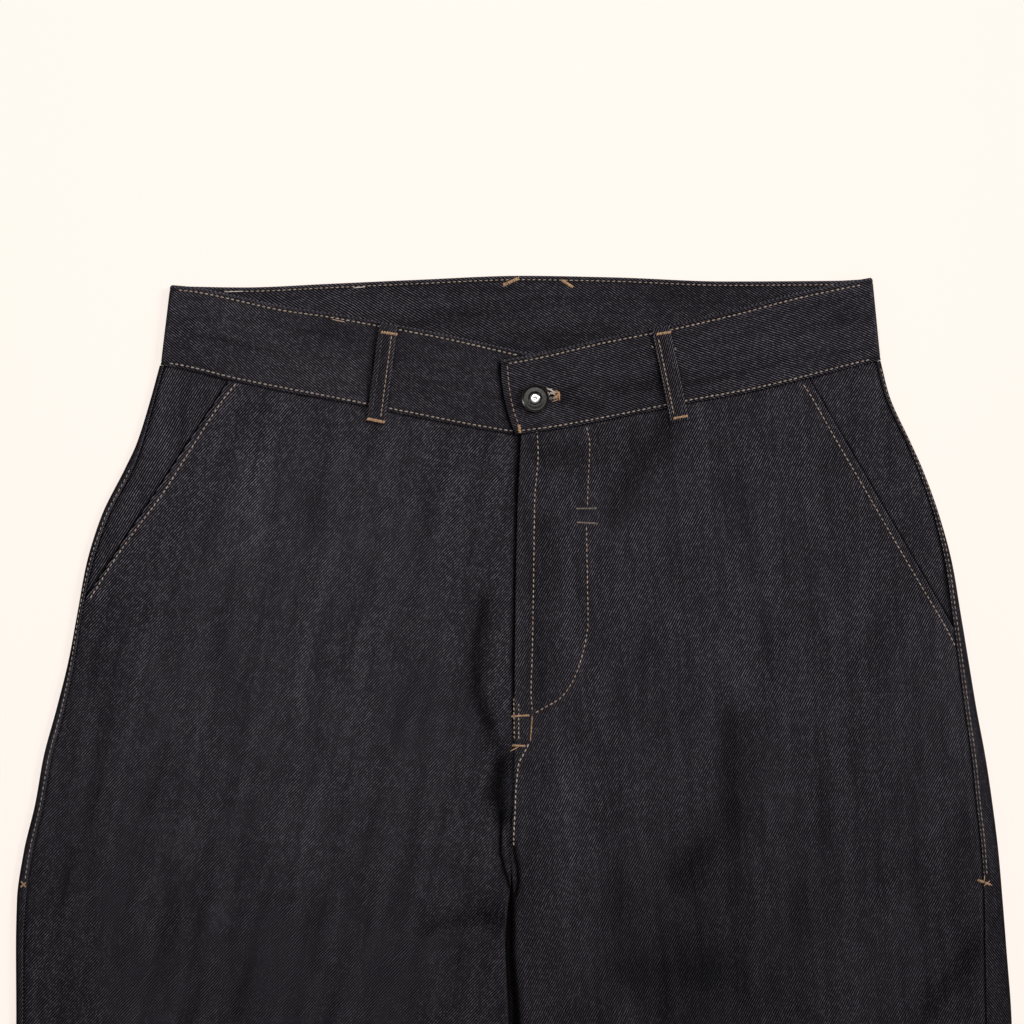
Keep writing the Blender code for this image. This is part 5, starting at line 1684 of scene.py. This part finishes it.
# %% Sew the bar tacks
back_face = lambda x, y: BAND + 0 * x
left_strip_height = lambda x, y: strip_height(x, y, LEFT)
right_strip_height = lambda x, y: strip_height(x, y, RIGHT)
right_loop_height = lambda x, y: loop_height(right_loop, x, y)
left_loop_height = lambda x, y: loop_height(left_loop, x, y)
dim = {"width": 1.3, "shade": 0.5, "tone": 0.25, "slant": 0.6}
bar_tacks = thread_piece("bar_tacks", [
    bar_tack((-80.6, 522.0), (-71.0, 520.4), right_loop_height),
    bar_tack((-89.2, 470.2), (-78.8, 468.0), right_loop_height, width=2.1),
    bar_tack((84.0, 520.6), (92.9, 522.0), left_loop_height),
    bar_tack((94.5, 470.4), (102.8, 471.8), left_loop_height),
    bar_tack((-7.8, 550.4), (1.6, 554.6), back_face, width=2.2),
    bar_tack((27.6, 553.4), (34.0, 549.2), back_face, width=2.0),
    bar_tack((1.7, 466.4), (2.3, 461.6), flap_height, width=1.8, tone=1.0),
    bar_tack((36.0, 416.2), (48.4, 416.4), left_front_height, **dim),
    bar_tack((36.6, 408.0), (49.0, 407.3), left_front_height, **dim),
    bar_tack((-2.6, 291.6), (7.8, 292.2), left_front_height, width=1.3),
    bar_tack((9.7, 291.2), (8.6, 277.0), left_front_height, width=0.9, radius=0.22),
    bar_tack((-2.2, 274.2), (5.6, 273.8), left_front_height, width=1.3),
    bar_tack((276.9, 193.4), (284.4, 190.8), left_strip_height, width=1.6),
    bar_tack((-297.0, 192.6), (-294.0, 189.0), right_strip_height, width=1.0, shade=0.9),
    bar_tack((-297.2, 189.2), (-293.8, 192.0), right_strip_height, width=1.0, shade=0.9),
])

# %% [markdown]
# ## The buttonhole and loose ends
# The buttonhole's edge is bound with a close zigzag of thread, pale and orange, which frays a little at the
# end that shows beside the button. A few thread ends were left long at the bar tacks.

# %% Buttonhole binding
HOLE_END = np.array([23.8, 484.4])
BINDING_OUT = 1.5
BINDING_PITCH = 0.42
ORANGE_FROM = 22.6
STRAND_RADIUS = 0.24


def buttonhole_binding():
    """Strands square to the slit's edge, down one side, round its end, and back along the other."""
    tilt = math.atan2(left_band_top(20.0) - left_band_top(12.0), 8.0)
    way, square = np.array([math.cos(tilt), math.sin(tilt)]), np.array([-math.sin(tilt), math.cos(tilt)])
    straight = np.arange(0.0, 5.5, BINDING_PITCH)
    edges = [(s, square * sign) for s in straight for sign in (-1, 1)]
    sides = [(HOLE_END - way * s + direction * BINDING_OUT, direction) for s, direction in edges]
    outwards = [way * math.cos(t) + square * math.sin(t) for t in np.linspace(-math.pi / 2, math.pi / 2, 11)]
    around_end = [(HOLE_END + (BINDING_OUT + 0.1) * direction, direction) for direction in outwards]
    plan, out = (np.array([strand[i] for strand in sides + around_end]) for i in range(2))
    count = len(plan)
    centres = np.column_stack([plan + dice.normal(0.0, 0.12, (count, 2)), np.full(count, FLAP_TOP + 0.35)])
    ways = np.column_stack([out + dice.normal(0.0, 0.25, (count, 2)), np.zeros(count)])
    tones = np.where(plan[:, 0] > ORANGE_FROM, 0.95, 0.1)
    in_shade = (plan[:, 1] < 483.6) & (plan[:, 0] < ORANGE_FROM)
    shades = dice.uniform(0.55, 1.15, count) * np.where(in_shade, 0.45, 1.0)
    return Beads(centres, ways, upright(count), dice.uniform(1.5, 2.5, count), STRAND_RADIUS, 0.35, tones, shades)


# %% Frayed and loose ends
Strand = namedtuple("Strand", "start end height tone shade")
FRAY = FLAP_TOP + 0.6
FRAYED = table(
    Strand,
    ((18.0, 488.6), (22.4, 486.6), FRAY, 0.0, 1.5), ((19.4, 487.6), (24.0, 485.4), FRAY, 0.0, 1.5),
    ((20.4, 485.8), (23.6, 484.2), FRAY, 0.0, 1.4), ((18.6, 487.2), (21.8, 488.0), FRAY, 0.0, 1.4),
    ((25.8, 485.0), (26.2, 480.8), FRAY, 0.9, 1.1), ((25.4, 481.6), (21.6, 480.2), FRAY, 0.9, 0.9),
    ((24.4, 487.0), (26.6, 484.0), FRAY, 0.9, 1.1),
)
LOOSE_ENDS = table(
    Strand,
    ((284.0, 193.4), (280.2, 190.0), 7.2, 0.8, 1.1), ((285.6, 190.4), (281.0, 192.0), 6.2, 0.8, 1.1),
    ((281.0, 196.4), (280.4, 192.6), 6.6, 0.8, 1.1), ((-3.4, 270.8), (1.6, 273.4), 5.4, 0.9, 1.1),
    ((81.0, 513.9), (82.4, 512.6), 6.9, 0.5, 1.1), ((95.2, 512.2), (95.9, 511.4), 7.6, 0.0, 1.1),
    ((-110.4, 529.7), (-102.6, 528.1), 6.4, 0.6, 1.1), ((-175.2, 546.3), (-163.6, 546.8), 2.9, 0.0, 1.6),
    ((-98.0, 548.7), (-90.6, 549.4), 2.9, 0.0, 1.7),
)


def lay_strands(strands, arch):
    """Single threads between their two ends, each at its own height."""
    starts, ends = (np.array([(*strand[i], strand.height) for strand in strands]) for i in range(2))
    tones, shades = (np.array([strand[i] for strand in strands]) for i in (3, 4))
    run = ends - starts
    lengths = np.linalg.norm(run, axis=1)
    return Beads((starts + ends) / 2, run, upright(len(run)), lengths, STRAND_RADIUS, arch, tones, shades)


buttonhole_thread = thread_piece("buttonhole_thread", [buttonhole_binding(), lay_strands(FRAYED, 0.3)])
loose_threads = thread_piece("loose_threads", [lay_strands(LOOSE_ENDS, 0.25)])

# %% [markdown]
# ## The tack button
# A jeans button is a ring of dark plated metal pressed round a bright middle, on a stud that goes through the
# buttonhole. Both are turned shapes: a profile carried round the button's axis.

# %% Button
BUTTON = (11.4, 482.1)
BUTTON_STEPS = 72
RING_FOOT = FLAP_TOP + SEAM_GAP + 0.9
RING_PROFILE = (
    (3.3, 1.15), (3.45, 1.55), (3.8, 1.74), (4.3, 1.78), (5.4, 1.72), (6.6, 1.66), (7.1, 1.68), (7.35, 1.80),
    (7.75, 2.06), (8.0, 2.12), (8.25, 2.02), (8.42, 1.75), (8.5, 1.3), (8.46, 0.75), (8.2, 0.3),
    (7.6, 0.05), (3.4, 0.0),
)
STUD_PROFILE = (
    (0.0, 1.18), (0.35, 1.19), (0.6, 1.26), (0.8, 1.42), (1.0, 1.52), (1.5, 1.56), (2.1, 1.53), (2.6, 1.42),
    (2.9, 1.26), (3.0, 1.05), (3.0, -0.3), (4.8, -0.3), (4.8, -0.9), (1.8, -0.9), (1.8, -3.7), (0.0, -3.7),
)


# %% Plated metal
def metal_material(name, colour, roughness, scratch):
    """Plated metal, with faint turning marks that catch the light round the axis."""
    material, shader = new_material(name, {"Metallic": 1.0})
    tree = Tree(material.node_tree)
    link = material.node_tree.links.new
    marks = tree.noise(tree.node("ShaderNodeTexCoord", {}, output=3), 900.0, 3.0)
    duller = tuple(0.8 * part for part in colour)
    link(tree.mix(tree.range(marks, 0.35, 0.7), colour + (1.0,), duller + (1.0,)), shader.inputs["Base Color"])
    link(tree.range(marks, 0.3, 0.7, roughness - scratch, roughness + scratch), shader.inputs["Roughness"])
    link(tree.bump(0.04, 0.00005, marks), shader.inputs["Normal"])
    return material


# %% Turn the ring and the stud
def turned(name, profile, material):
    """A profile of (radius, height) turned about the button's axis: each point is carried round a circle. A
    profile whose two ends are on the axis is capped there, and any other one is closed to a ring."""
    radius, height = (np.array([pair[i] for pair in profile]) for i in range(2))
    off_axis = radius > 0.0
    closed = bool(off_axis.all())
    turn = np.arange(BUTTON_STEPS) * 2 * math.pi / BUTTON_STEPS
    x = BUTTON[0] + radius[off_axis][:, None] * np.cos(turn)
    y = BUTTON[1] + radius[off_axis][:, None] * np.sin(turn)
    z = RING_FOOT + height[off_axis][:, None] + 0 * x
    rings, points = len(x), np.stack([x, y, z], axis=-1).reshape(-1, 3)
    faces = (grid_faces(rings + closed, BUTTON_STEPS, round_columns=True) % len(points)).tolist()
    if not closed:
        points = np.vstack([points, [(*BUTTON, RING_FOOT + h) for h in height[~off_axis]]])
        top, bottom, last = len(points) - 2, len(points) - 1, (rings - 1) * BUTTON_STEPS
        for k in range(BUTTON_STEPS):
            after = (k + 1) % BUTTON_STEPS
            faces += [[top, after, k], [bottom, last + k, last + after]]
    if signed_volume(points, faces) < 0:
        faces = [face[::-1] for face in faces]
    return new_piece(name + "_metal", points, faces, None, material)


gunmetal = metal_material("gunmetal", (0.017, 0.016, 0.015), 0.22, 0.04)
nickel = metal_material("nickel", (0.70, 0.69, 0.67), 0.22, 0.02)
button_ring = turned("button_ring", RING_PROFILE, gunmetal)
button_stud = turned("button_stud", STUD_PROFILE, nickel)
print("button", len(button_ring.data.polygons) + len(button_stud.data.polygons), "faces")

# %% [markdown]
# ## Fixing the pieces to the frame
# Nothing moves on laid-out jeans, so every piece rides on the one body. Each cloth piece and the two metal
# ones stand for the solid of the same name. The flat sizes are those of the cut pieces.

# %% Ride and replace
FLAT_CUTS = {
    "front_right": (0.310, 1.060, 0.268), "front_left": (0.310, 1.060, 0.268),
    "back_right": (0.320, 1.065, 0.285), "back_left": (0.320, 1.065, 0.285),
    "pocket_facing_right": (0.070, 0.165, 0.0062), "pocket_facing_left": (0.070, 0.165, 0.0062),
    "waistband": (0.047, 0.905, None),
    "belt_loop_right": (0.011, 0.062, None), "belt_loop_left": (0.011, 0.062, None),
}
cloth_pieces = (
    front_right, front_left, back_right, back_left, facing_right, facing_left, waistband, *loop_pieces,
)
for piece, node in zip(cloth_pieces, FLAT_CUTS):
    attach(piece, "root")
    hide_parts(node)
for piece, node, finish in ((button_ring, "button_ring", "gunmetal"), (button_stud, "button_stud", "nickel")):
    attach(piece, "root")
    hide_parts(node)
threads = (
    band_stitches, pocket_stitches, side_stitches, fly_stitches, loop_stitches, hem_stitches, bar_tacks,
    buttonhole_thread, loose_threads,
)
for piece in threads:
    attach(piece, "root")
print(len(cloth_pieces), "cloth pieces,", len(threads), "thread pieces")
